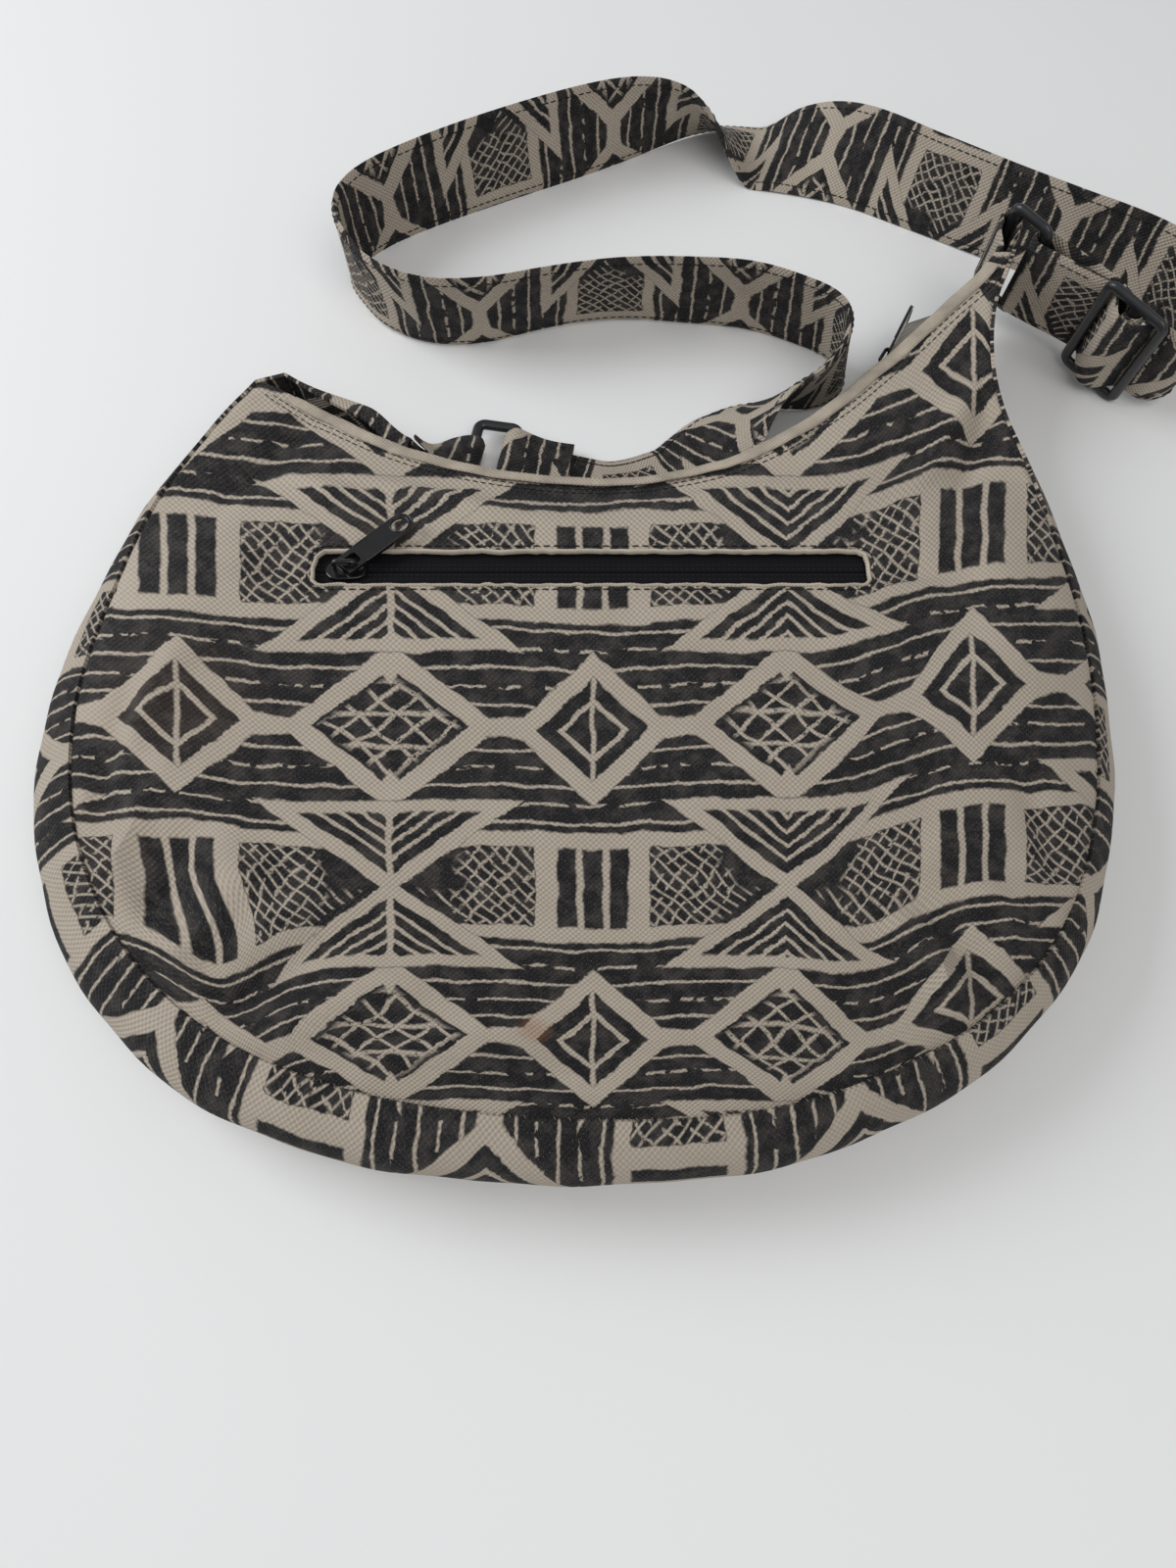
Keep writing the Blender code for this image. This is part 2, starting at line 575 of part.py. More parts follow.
def lining():
    """The inner bag, open at the mouth."""
    _, _, outward, _, share = seam()
    keep = np.nonzero((share > 0.055) & (share < 0.87))[0]
    start, end = mouth()[keep], seam_edge(1)[keep]
    back_start = np.column_stack([back_mouth(), np.zeros(COLUMNS)])[keep]
    away, _ = from_mouth_centre(start)
    start_in = start + np.column_stack([away, np.zeros(len(keep))]) * 8 * MM
    out = outward[keep]
    span = np.linalg.norm((end - start)[:, :2], axis=1)
    rows = []
    for v in (0.0, 0.3, 0.6, 0.85, 1.0):
        share_here = (8 * MM + v * (span - 8 * MM - LINING_INSET)) / span
        point = front_at(share_here, start, end)
        point[:, :2] += (start_in - start)[:, :2] * (1 - v) * 0.3
        point[:, 2] -= LINING_DROP
        rows.append(point)
    top = rows[-1]
    foot = top.copy()
    foot[:, 2] = LINING_FLOOR
    for w in (0.3, 0.7):
        side = top * (1 - w) + foot * w + out * 3 * MM
        rows.append(side)
    inner_edge = back_start + np.column_stack([away, np.zeros(len(keep))]) * 5 * MM
    for v in (1.0, 0.7, 0.4, 0.15, 0.0):
        point = foot * v + inner_edge * (1 - v)
        point[:, 2] = LINING_FLOOR + (4 * MM if v == 0 else 0)
        rows.append(point)
    outer = np.array(rows)
    facing = np.concatenate([np.tile((0, 0, 1.0), (5, len(keep), 1)), np.tile(out, (2, 1, 1)),
                             np.tile((0, 0, -1.0), (5, len(keep), 1))])
    normals = grid_normals(outer, facing)
    return closed_sheet("lining", outer, outer - normals * LINING_CLOTH, "lining")


def pouch():
    """Pocket bag under the slot: two walls sewn together at the sides and the foot."""
    place = slot_matrix()
    wide = SLOT_LENGTH / 2 + POUCH_OVERHANG
    shut = POUCH_CLOTH + 0.2 * MM
    room = POUCH_ROOM / 2 + POUCH_CLOTH
    middle = TAPE_TOP - TAPE - GAP + 0.5 * MM - room
    columns = 12
    walls = []
    for outline, side in ((POUCH_FRONT, 1), (POUCH_BACK, -1)):
        lines = []
        for k, x in enumerate(np.linspace(-wide, wide, columns)):
            swell = 1.0 if 0 < k < columns - 1 else 0.0
            pts = []
            for y, opening in outline:
                y = y * POUCH_DEPTH if y < 0 else y * MM
                world = place @ Vector((x, y, 0))
                offset = side * (shut + (room - shut) * opening * swell)
                pts.append((world.x, world.y, float(crown(world.y)) + middle + offset))
            lines.append(pts)
        walls.append(np.array(lines).transpose(1, 0, 2))
    centre = np.vstack(walls).mean(axis=0, keepdims=True)
    for name, outer in zip(("pocket_pouch_front", "pocket_pouch_back"), walls, strict=True):
        normals = grid_normals(outer, outer - centre)
        closed_sheet(name, outer, outer - normals * POUCH_CLOTH, "lining")


def pocket_zip():
    place = slot_matrix()
    reach = SLOT_LENGTH / 2 + 4 * MM
    for name, side in (("upper", 1), ("lower", -1)):
        edges = sorted((side * TAPE_SPLIT / 2, side * (TAPE_SPLIT / 2 + TAPE_WIDTH)))
        tape = rectangle(-reach, reach, *edges)
        prism(f"pocket_tape_{name}", tape, TAPE_TOP - TAPE, TAPE_TOP, "tape", place)
        edges = sorted((side * TAPE_SPLIT / 2, side * (TAPE_SPLIT / 2 + COIL_WIDTH)))
        coil = rectangle(-reach + 2 * MM, reach - 2 * MM, *edges)
        prism(f"pocket_coil_{name}", coil, COIL_TOP - COIL_HEIGHT, COIL_TOP, "coil", place)
    for name, x in (("left", -reach + 3 * MM), ("right", reach - 3 * MM - STOP_LENGTH)):
        low = COIL_TOP - COIL_HEIGHT - GAP
        block = rectangle(x, x + STOP_LENGTH, -3 * MM, 3 * MM)
        prism(f"pocket_stop_{name}", block, low - 0.8 * MM, low, "metal", place)
    welt = prism("pocket_welt", rounded_outline(SLOT_LENGTH - 2 * GAP, SLOT_HEIGHT - 2 * GAP, 3.8 * MM),
                 -1.5 * MM, 0.5 * MM, "canvas", place)
    inset = 2 * GAP + 2 * WELT_WIDTH
    hole = prism("welt_hole", rounded_outline(SLOT_LENGTH - inset, SLOT_HEIGHT - inset, 2.6 * MM),
                 -5 * MM, 5 * MM, "canvas", place)
    combine(welt, hole, "DIFFERENCE")


def slider(name, place, origin):
    """Top and bottom plates joined by a post between the coils, with a bail on top."""
    half = SLIDER_LENGTH / 2
    wide = SLIDER_WIDTH / 2
    outline = [(half, wide * 0.55), (half * 0.75, wide * 0.9), (-half * 0.3, wide),
               (-half * 0.85, wide * 0.7),
               (-half, wide * 0.25)]
    outline = outline + [(x, -y) for x, y in reversed(outline)]
    top = TAPE_TOP + GAP
    bottom = COIL_TOP - COIL_HEIGHT - GAP
    body = prism(name, outline, top, top + SLIDER_PLATE, "metal", place, origin)
    post = rectangle(-half * 0.7, half * 0.1, -POST_WIDTH / 2, POST_WIDTH / 2)
    middle = prism(f"{name}_post", post, bottom - 0.3 * MM, top + 0.3 * MM, "metal", place, origin)
    combine(body, middle, "UNION")
    plate = prism(f"{name}_plate", outline, bottom - SLIDER_PLATE, bottom, "metal", place, origin)
    combine(body, plate, "UNION")
    base = top + SLIDER_PLATE
    x = BAIL_SPAN / 2 - BAIL_WIRE / 2
    z = base + BAIL_HEIGHT - BAIL_WIRE / 2
    path = [(-x, base - 0.4 * MM), (-x, z - 1.0 * MM), (-x + 1.0 * MM, z), (x - 1.0 * MM, z),
            (x, z - 1.0 * MM), (x, base - 0.4 * MM)]
    frames = []
    turn = place.to_3x3()
    for k, (px, pz) in enumerate(path):
        a, b = path[max(k - 1, 0)], path[min(k + 1, len(path) - 1)]
        d = Vector((b[0] - a[0], b[1] - a[1])).normalized()
        side = turn @ Vector((0, 1, 0))
        up = turn @ Vector((-d.y, 0, d.x))
        frames.append([np.array(v) for v in (place @ Vector((px, 0, pz)), side, up)])
    wire = swept_bar(f"{name}_wire", frames, round_section(BAIL_WIRE), "metal", origin=origin)
    combine(body, wire, "UNION")
    return body


def bail_axis_height():
    return TAPE_TOP + GAP + SLIDER_PLATE + 1.35 * MM


def pull(name, place, yaw, lift, parent):
    """Flat tab with an eye round the bail and a round hole near its far end."""
    axis = Matrix.Translation((0, 0, bail_axis_height()))
    turn = Matrix.Rotation(math.radians(yaw), 4, "Z") @ Matrix.Rotation(-math.radians(lift), 4, "Y")
    own = place @ axis @ turn
    origin = own.translation
    wide = PULL_WIDTH / 2
    bar = 0.7 * MM
    outline = [(-bar, -wide + 0.5 * MM), (-bar + 0.4 * MM, -wide)]
    turns = [math.radians(-90 + 18 * k) for k in range(11)]
    outline += [(PULL_LENGTH - wide + wide * math.cos(a), wide * math.sin(a)) for a in turns]
    outline += [(-bar + 0.4 * MM, wide), (-bar, wide - 0.5 * MM)]
    half = PULL_THICK / 2
    tab = prism(name, outline, -half, half, "metal", own, origin)
    eye = rectangle(0.9 * MM, 5.6 * MM, -wide + PULL_WALL, wide - PULL_WALL)
    combine(tab, prism("eye_hole", eye, -3 * MM, 3 * MM, "metal", own), "DIFFERENCE")
    middle = PULL_LENGTH - wide
    turns = [math.radians(30 * k) for k in range(12)]
    ring = [(middle + PULL_HOLE / 2 * math.cos(a), PULL_HOLE / 2 * math.sin(a)) for a in turns]
    combine(tab, prism("end_hole", ring, -3 * MM, 3 * MM, "metal", own), "DIFFERENCE")
    tab.parent = parent
    tab.location = origin - parent.location
    return tab


def arc_strip(name, y0, y1, z0, z1, look):
    """A strip along the mouth zip between local heights y and depths z."""
    frames = []
    for angle in np.linspace(MOUTH_START, MOUTH_END, 36):
        place = mouth_matrix(angle)
        turn = place.to_3x3()
        middle = place @ Vector((0, (y0 + y1) / 2, (z0 + z1) / 2))
        frames.append([np.array(v) for v in (middle, turn @ Vector((0, 1, 0)), turn @ Vector((0, 0, 1)))])
    return swept_bar(name, frames, box_section(y1 - y0, z1 - z0), look)


def mouth_zip():
    for name, side in (("front", 1), ("back", -1)):
        edges = sorted((side * TAPE_SPLIT / 2, side * (TAPE_SPLIT / 2 + MOUTH_TAPE_WIDTH)))
        arc_strip(f"mouth_tape_{name}", *edges, TAPE_TOP - TAPE, TAPE_TOP, "tape")
        edges = sorted((side * TAPE_SPLIT / 2, side * (TAPE_SPLIT / 2 + COIL_WIDTH)))
        arc_strip(f"mouth_coil_{name}", *edges, COIL_TOP - COIL_HEIGHT, COIL_TOP, "coil")
    for name, angle in (("left", MOUTH_START + 1), ("right", MOUTH_END - 1)):
        low = COIL_TOP - COIL_HEIGHT - GAP
        block = rectangle(-STOP_LENGTH / 2, STOP_LENGTH / 2, -3 * MM, 3 * MM)
        prism(f"mouth_stop_{name}", block, low - 0.8 * MM, low, "metal", mouth_matrix(angle))


def frame_at(point, side, up):
    return [np.asarray(v, float) for v in (point, side, up)]


def bar_loop(name, middle, u, w, reach, look, bars=(), origin=None):
    """A rectangular ring of round bar about a middle, with extra cross bars."""
    n = unit(np.cross(w, u))
    across = unit(np.cross(n, w))
    long = (STRAP_WIDTH + 2 * BAR_ROOM + BAR) / 2
    frames = []
    for x, y in rounded_outline(2 * reach, 2 * long, 2.6 * MM, 3):
        cx = math.copysign(reach - 2.6 * MM, x)
        cy = math.copysign(long - 2.6 * MM, y)
        out = unit(across * (x - cx) + w * (y - cy))
        frames.append(frame_at(middle + across * x + w * y, out, n))
    ring = swept_bar(name, frames, round_section(BAR), look, closed=True, origin=origin)
    for x in bars:
        ends = [frame_at(middle + across * x + w * y, across, n) for y in (-long, long)]
        bar = swept_bar(f"{name}_bar", ends, round_section(BAR), look, origin=origin)
        combine(ring, bar, "UNION")
    return ring


def rings_and_adjuster():
    pitch = (RING_REACH + BAR) / 2
    rings = (("ring_left", LEFT_BAR, LEFT_OUT, LEFT_UP), ("ring_right", RIGHT_BAR, RIGHT_OUT, RIGHT_UP))
    for name, bar, u, w in rings:
        u, w = unit(u), unit(w)
        middle = np.array(bar) - u * pitch
        bar_loop(name, middle, u, w, pitch, "plastic", origin=middle - u * pitch)
    u, w = unit(RIGHT_OUT), unit(RIGHT_UP)
    middle = np.array(RIGHT_BAR) + u * ADJUSTER_DISTANCE
    bar_loop("adjuster", middle, u, w, ADJUSTER_PITCH, "plastic", bars=(0.0,), origin=middle)


def tab_strip(name, start, start_up, bar, bar_up, width):
    """A doubled strip from the end of a horn round the near bar of a ring."""
    start, bar = np.array(start), np.array(bar)
    radius = BAR / 2 + LOOP_SLACK + TAB_THICK / 2
    travel = bar - start
    out, back = [], []
    for s in np.linspace(0, 1, 7):
        point = start + travel * s
        side = unit(np.array(start_up) * (1 - s) + np.array(bar_up) * s)
        n = unit(np.cross(side, travel))
        gap = (TAB_THICK / 2 + GAP) * (1 - smooth_step(s * 1.6)) + radius * smooth_step(s * 1.6)
        out.append(frame_at(point + n * gap, side, n))
        back.append(frame_at(point - n * gap, side, -n))
    side = unit(np.array(bar_up))
    n = unit(np.cross(side, travel))
    ahead = unit(np.cross(n, side))
    turn = []
    for k in range(1, 8):
        a = math.pi * k / 8
        direction = n * math.cos(a) + ahead * math.sin(a)
        turn.append(frame_at(bar + direction * radius, side, direction))
    frames = out + turn + back[::-1]
    return swept_bar(name, frames, box_section(width, TAB_THICK), "canvas")


def tabs():
    reach = RING_REACH + BAR
    middle, _, outward, _, _ = seam()
    inward = outward[-1] * 3.4 * MM
    near = np.array(RIGHT_BAR) - unit(RIGHT_OUT) * reach
    ahead = unit(near - middle[-1])
    tab_strip("tab_right", middle[-1] - inward + ahead * 0.4 * MM, TIP_UP, near, RIGHT_UP, TAB_WIDTH)
    near = np.array(LEFT_BAR) - unit(LEFT_OUT) * reach
    x, y = body_xy(LEFT_BAND_XY)[0]
    band_end = np.array([x, y, (BAND_TOP + BAND_FOOT) / 2])
    ahead = unit(near - band_end)
    tab_strip("tab_left", band_end + ahead * 1.2 * MM, BAND_UP, near, LEFT_UP, LEFT_TAB_WIDTH)


def belt(circles, start, last_turn):
    """Path of a strap over bars. Each circle is (u, n, radius, turn), turn +1 leftward."""
    path = [np.array(start, float)]
    previous = (start[0], start[1], 0.0, 1)
    departures = []
    arrivals = []
    for circle in circles:
        (u0, n0, r0, s0), (u1, n1, r1, s1) = previous, circle
        length = math.hypot(u1 - u0, n1 - n0)
        heading = math.atan2(n1 - n0, u1 - u0) - math.asin((s1 * r1 - s0 * r0) / length)
        left = np.array([-math.sin(heading), math.cos(heading)])
        departures.append((np.array([u0, n0]) - s0 * r0 * left, heading))
        arrivals.append((np.array([u1, n1]) - s1 * r1 * left, heading))
        previous = circle
    for k, (u, n, radius, s) in enumerate(circles):
        begin = arrivals[k][1]
        end = departures[k + 1][1] if k + 1 < len(circles) else begin + s * last_turn
        swing = (end - begin) * s % (2 * math.pi) * s
        if abs(swing) > math.pi * 1.9:
            swing = 0.0
        steps = max(2, int(abs(swing) / math.radians(24)) + 1)
        for angle in np.linspace(begin, begin + swing, steps):
            left = np.array([-math.sin(angle), math.cos(angle)])
            path.append(np.array([u, n]) - s * radius * left)
    return np.array(path)


def right_belt():
    u, w = unit(RIGHT_OUT), unit(RIGHT_UP)
    n = unit(np.cross(w, u))
    near = BAR / 2 + LOOP_SLACK + STRAP_THICK / 2
    second = near + STRAP_THICK + GAP
    centre, pitch = ADJUSTER_DISTANCE, ADJUSTER_PITCH
    circles = [(centre + pitch, 0, near, 1), (centre, 0, second, -1), (centre - pitch, 0, near, 1),
               (0, 0, near, -1), (centre - pitch, 0, second, -1), (centre, 0, near, -1)]
    entry = [(centre + pitch + a * MM, b * MM) for a, b in ((13, 15), (12.5, 11), (10.5, 7.5))]
    flat = belt(circles, (centre + pitch + 7 * MM, 5 * MM), math.radians(205))
    flat = np.vstack([np.array(entry), flat])
    base = np.array(RIGHT_BAR)
    return [(base + u * a + n * b, -w) for a, b in flat]


def left_loop():
    u, w = unit(LEFT_OUT), unit(LEFT_UP)
    radius = BAR / 2 + LOOP_SLACK + STRAP_THICK / 2
    bar = np.array(LEFT_BAR)
    low = bar[2] - radius
    over = low + STRAP_THICK + GAP
    rows = [(TAIL + 6 * MM, over), (TAIL, over)]
    rows += [(TAIL * 0.7, over + 0.6 * MM), (TAIL * 0.4, over + 2.2 * MM)]
    pts = [(np.array([*(bar + u * a)[:2], z]), w) for a, z in rows]
    for k in range(9):
        a = math.radians(65 + 205 * k / 8)
        pts.append((bar + u * radius * math.cos(a) + np.array([0, 0, radius * math.sin(a)]), w))
    return pts


def strap():
    """One closed band: sewn end, left ring, long run, adjuster, right ring, adjuster."""
    route = []
    places = np.array(STRAP_ROUTE, float)
    places[:, :2] = body_xy(places[:, :2])
    dense = smooth_curve(places * (1, 1, 0.0001, MM), 74)
    dense[:, 2] /= 0.0001
    heading = unit(np.gradient(dense[:, :2], axis=0))
    for (x, y, lean, lift), (hx, hy) in zip(dense, heading, strict=True):
        a = math.radians(lean)
        side = np.array([-hy * math.sin(a), hx * math.sin(a), math.cos(a)])
        rise = abs(math.cos(a)) * STRAP_WIDTH / 2 + abs(math.sin(a)) * STRAP_THICK / 2
        route.append((np.array([x, y, rise + STRAP_LIFT + lift]), side))
    path = left_loop() + route + right_belt()
    points = np.array([p for p, _ in path])
    travel = unit(np.gradient(points, axis=0))
    frames = []
    for k, (point, side) in enumerate(path):
        up = unit(np.cross(travel[k], side))
        frames.append(frame_at(point, side, up))
    return swept_bar("strap", frames, box_section(STRAP_WIDTH, STRAP_THICK), "canvas")


def main():
    remove_scene_objects()
    front_panel()
    back_panel()
    gusset()
    facings()
    lining()
    pouch()
    pocket_zip()
    mouth_zip()
    place = slot_matrix() @ Matrix.Translation((POCKET_SLIDER_X, 0, 0))
    body = slider("pocket_slider", place, place.translation)
    pull("pocket_pull", place, PULL_YAW, PULL_LIFT, body)
    place = mouth_matrix(MOUTH_SLIDER_ANGLE) @ Matrix.Rotation(math.pi, 4, "Z")
    body = slider("mouth_slider", place, Vector((*MOUTH_CENTRE, MOUTH_ZIP_HEIGHT)))
    pull("mouth_pull", place, 180.0, MOUTH_PULL_LIFT, body)
    rings_and_adjuster()
    tabs()
    strap()


main()
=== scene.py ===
import math

import bmesh
import bpy
import mathutils
import numpy as np
from mathutils import Matrix, Vector


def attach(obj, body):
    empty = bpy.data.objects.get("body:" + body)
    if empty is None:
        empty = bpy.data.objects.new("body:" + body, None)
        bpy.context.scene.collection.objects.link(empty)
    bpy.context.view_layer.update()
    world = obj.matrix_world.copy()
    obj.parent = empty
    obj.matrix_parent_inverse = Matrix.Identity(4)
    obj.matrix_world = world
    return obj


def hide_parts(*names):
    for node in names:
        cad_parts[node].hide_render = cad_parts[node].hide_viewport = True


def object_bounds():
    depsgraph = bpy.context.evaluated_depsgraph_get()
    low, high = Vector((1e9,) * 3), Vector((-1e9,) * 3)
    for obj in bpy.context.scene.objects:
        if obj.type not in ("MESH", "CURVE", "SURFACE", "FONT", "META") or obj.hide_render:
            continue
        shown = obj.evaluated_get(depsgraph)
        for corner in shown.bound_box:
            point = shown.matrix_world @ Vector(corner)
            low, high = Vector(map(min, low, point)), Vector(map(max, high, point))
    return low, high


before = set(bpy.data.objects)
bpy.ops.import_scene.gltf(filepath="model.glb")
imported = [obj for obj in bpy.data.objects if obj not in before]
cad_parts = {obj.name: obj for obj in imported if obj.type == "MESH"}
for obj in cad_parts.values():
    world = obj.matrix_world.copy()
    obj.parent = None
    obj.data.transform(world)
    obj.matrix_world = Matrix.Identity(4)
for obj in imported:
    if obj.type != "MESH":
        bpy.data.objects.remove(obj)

CAD_BOX = [[float(c) for c in corner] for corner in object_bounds()]

MM = 0.001
TABLE_DROP = 0.2 * MM  # table under the lowest solid
TABLE_SIZE = 3.0  # half its width

# Body
BODY_WIDTH = 321 * MM  # seam to seam across the front panel
BODY_LENGTH = 219 * MM  # bottom seam to the low point of the mouth
MOUTH_Y = 109 * MM  # low point of the mouth
CROWN_HEIGHT = 49 * MM  # highest part of the front panel
MOUTH_HEIGHT = 27 * MM  # front edge of the mouth over the table
GAP = 0.3 * MM  # between pieces that touch
EDGE_FALL = 60 * MM  # width of the rounded margin along the seam
BACK_LIFT = 3 * MM  # back seam over the table
BACK_MARGIN = 26 * MM  # the back panel lifts off the table within this margin

# Outlines as shares of BODY_WIDTH and BODY_LENGTH, from the low point of the mouth
LEFT_BAND_XY = [(-0.196, 0.112), (-0.244, 0.14), (-0.3, 0.178), (-0.345, 0.215)]
SEAM_XY = [
    (-0.378, 0.2), (-0.417, 0.1), (-0.465, -0.068), (-0.49, -0.26), (-0.498, -0.429),
    (-0.474, -0.612), (-0.414, -0.772), (-0.324, -0.89), (-0.212, -0.959),
    (-0.093, -0.991), (0.025, -1.0), (0.14, -0.989), (0.249, -0.945), (0.352, -0.863),
    (0.43, -0.74), (0.474, -0.589), (0.495, -0.429), (0.502, -0.269), (0.495, -0.123),
    (0.48, 0.014), (0.462, 0.118), (0.456, 0.215), (0.464, 0.32), (0.49, 0.42),
]
MOUTH_XY = [
    (-0.352, 0.185), (-0.274, 0.114), (-0.193, 0.055), (-0.106, 0.018), (0.0, 0.0),
    (0.087, 0.012), (0.174, 0.055), (0.265, 0.142), (0.336, 0.237), (0.402, 0.324),
    (0.446, 0.372), (0.466, 0.408),
]
# Heights along the seam, from the left crease to the right tip, as (share, height)
SEAM_TOP = [(0, 28), (0.1, 31), (0.25, 36), (0.5, 37), (0.75, 33), (0.86, 29), (0.93, 34), (1, 46)]
SEAM_FOOT = [(0, 2.6), (0.1, 3), (0.75, 3), (0.9, 3.4), (1, 10)]
BULGE = [(0, 1.5), (0.08, 8), (0.25, 17), (0.5, 14), (0.72, 9), (0.85, 7), (0.92, 3), (1, 1)]
MOUTH_TOP = [(0, 27), (0.1, 27), (0.72, 27), (0.86, 30), (0.94, 37), (1, 44)]
# Height of the front panel along its middle, as (y, height)
CROWN_Y = [(-110, 45), (-70, 48.4), (-20, 49), (20, 47.6), (44, 44.9), (77, 39.1), (95, 34), (109, 29)]

# Left horn: a band folded over behind the mouth
BAND_LIP = 6 * MM
BAND_FOOT = 2.6 * MM
BAND_TOP = 28 * MM
BAND_UP = (-0.05, -0.5, 0.865)  # lean of the band where it ends
TIP_UP = (-0.014, -0.176, 0.984)  # lean of the gusset at the right tip

# Pocket zip in the front panel
SLOT_LENGTH = 178 * MM
SLOT_HEIGHT = 16 * MM
SLOT_X = 1 * MM
SLOT_Y = 60.5 * MM
TAPE = 0.6 * MM
TAPE_WIDTH = 11.5 * MM
TAPE_TOP = -2.2 * MM  # tape under the outer face of the cloth
TAPE_SPLIT = 1.7 * MM  # room for the slider's post between the tapes
TAPE_EDGE = 0.25 * MM  # middle of the zip to the edge of a tape as shown
TOOTH = 1.25 * MM  # from tooth to tooth
TOOTH_SHIFT = 0.6 * MM  # one row of teeth against the other
COIL_WIDTH = 2.2 * MM
COIL_HEIGHT = 1.3 * MM
COIL_TOP = TAPE_TOP - TAPE - GAP

# Slider and pull tab, the same on both zips
SLIDER_LENGTH = 12.8 * MM
SLIDER_WIDTH = 8.6 * MM
SLIDER_PLATE = 1.2 * MM
BAIL_WIRE = 1.4 * MM
BAIL_HEIGHT = 4.2 * MM
BAIL_SPAN = 8.4 * MM
PULL_LENGTH = 27 * MM  # hinge to the middle of the round end
PULL_WIDTH = 8.6 * MM
PULL_THICK = 1.4 * MM
PULL_WALL = 1.2 * MM
PULL_HOLE = 5.4 * MM
PULL_YAW = 42.0
PULL_LIFT = 8.0
SLIDER_FROM_END = 10.3 * MM  # slider to the left end of the slot, zip closed
POCKET_SLIDER_X = SLIDER_FROM_END - SLOT_LENGTH / 2

# Mouth zip, on a round arc about an upright axis
MOUTH_ZIP_HALF = 0.39246 * BODY_WIDTH  # low point of the zip to its right end, across
MOUTH_ZIP_RISE = 0.36647 * BODY_LENGTH  # the same, towards the horn
MOUTH_ZIP_INSET = 3 * MM  # low point of the zip to that of the front edge
MOUTH_RADIUS = (MOUTH_ZIP_HALF**2 + MOUTH_ZIP_RISE**2) / (2 * MOUTH_ZIP_RISE)
MOUTH_CENTRE = (-0.015576 * BODY_WIDTH, MOUTH_Y - MOUTH_ZIP_INSET + MOUTH_RADIUS)
MOUTH_FOOT_INSET = 10 * MM
MOUTH_FOOT_RADIUS = MOUTH_RADIUS + MOUTH_FOOT_INSET
MOUTH_ZIP_HEIGHT = 15.5 * MM
MOUTH_END = math.degrees(math.asin(MOUTH_ZIP_HALF / MOUTH_RADIUS))
MOUTH_START = -0.7077 * MOUTH_END
MOUTH_SLIDER_BACK = 12.13 * MM  # along the arc, slider to the end of the zip
MOUTH_SLIDER_ANGLE = MOUTH_END - math.degrees(MOUTH_SLIDER_BACK / MOUTH_RADIUS)
MOUTH_PULL_LIFT = 3.7
MOUTH_TAPE_WIDTH = 5.2 * MM


# Rings, adjuster and strap
STRAP_WIDTH = 38 * MM
STRAP_THICK = 2.2 * MM
STRAP_LIFT = 0.25 * MM
BAR = 3.4 * MM
BAR_ROOM = 1.0 * MM  # beside each edge of the strap
RING_REACH = 12 * MM  # between the two long bars of a ring
LOOP_SLACK = 0.85 * MM
ADJUSTER_PITCH = 12.3 * MM
ADJUSTER_DISTANCE = 42 * MM
TAB_THICK = 1.8 * MM
TAB_WIDTH = 34 * MM
LEFT_TAB_WIDTH = 27 * MM

# Bars that hold the strap, placed like the outlines above
RIGHT_BAR = (0.523364 * BODY_WIDTH, MOUTH_Y + 0.43379 * BODY_LENGTH, 29.6 * MM)
RIGHT_UP = TIP_UP
RIGHT_OUT = (0.675, -0.728, -0.12)
LEFT_BAR = (-0.093458 * BODY_WIDTH, MOUTH_Y + 0.086758 * BODY_LENGTH, 5.45 * MM)
LEFT_UP = (-0.17, -0.985, 0.0)
LEFT_OUT = (0.985, -0.17, 0.0)
TAIL = 16 * MM  # sewn end of the strap past the left bar

# Strap from the left ring to the adjuster: outline shares, lean in degrees from upright,
# lift in millimetres
STRAP_ROUTE = [
    (-0.0436, 0.0648, -90, 0), (0.0125, 0.0438, -90, 0), (0.0530, 0.0475, -90, 0),
    (0.1153, 0.0868, -86, 0), (0.1607, 0.1598, -66, 0), (0.2075, 0.2037, -40, 0),
    (0.2636, 0.2260, -18, 0), (0.2938, 0.2667, 0, 0), (0.3069, 0.3105, 6, 0),
    (0.2960, 0.3562, 8, 0), (0.2617, 0.3927, 8, 0), (0.1994, 0.4315, 8, 0),
    (0.1246, 0.4452, 9, 0), (0.0374, 0.4498, 12, 0), (-0.0467, 0.4292, 12, 0),
    (-0.1246, 0.3973, 9, 0), (-0.1931, 0.3973, 8, 0), (-0.2492, 0.4338, 6, 0),
    (-0.2835, 0.4932, 4, 0), (-0.3053, 0.5708, 2, 0), (-0.2835, 0.6393, 6, 0),
    (-0.2274, 0.7032, 8, 0), (-0.1308, 0.7808, 10, 0), (-0.0156, 0.8584, 8, 0),
    (0.0685, 0.9041, -4, 0), (0.1433, 0.9224, -32, 0), (0.2056, 0.9087, -76, 0),
    (0.2741, 0.8721, -118, 0), (0.3520, 0.8082, -148, 0), (0.4299, 0.7306, -160, 0),
    (0.5109, 0.6530, -165, 0), (0.5919, 0.5845, -169, 0), (0.6636, 0.5251, -171, 0),
    (0.7227, 0.4521, -170, 0), (0.7445, 0.3881, -167, 1), (0.7368, 0.3311, -163, 3),
    (0.7134, 0.2831, -161, 5),
]

COLUMNS = 48


def travelled(points):
    """Distance along a line of points."""
    return np.concatenate([[0], np.cumsum(np.linalg.norm(np.diff(points, axis=0), axis=1))])


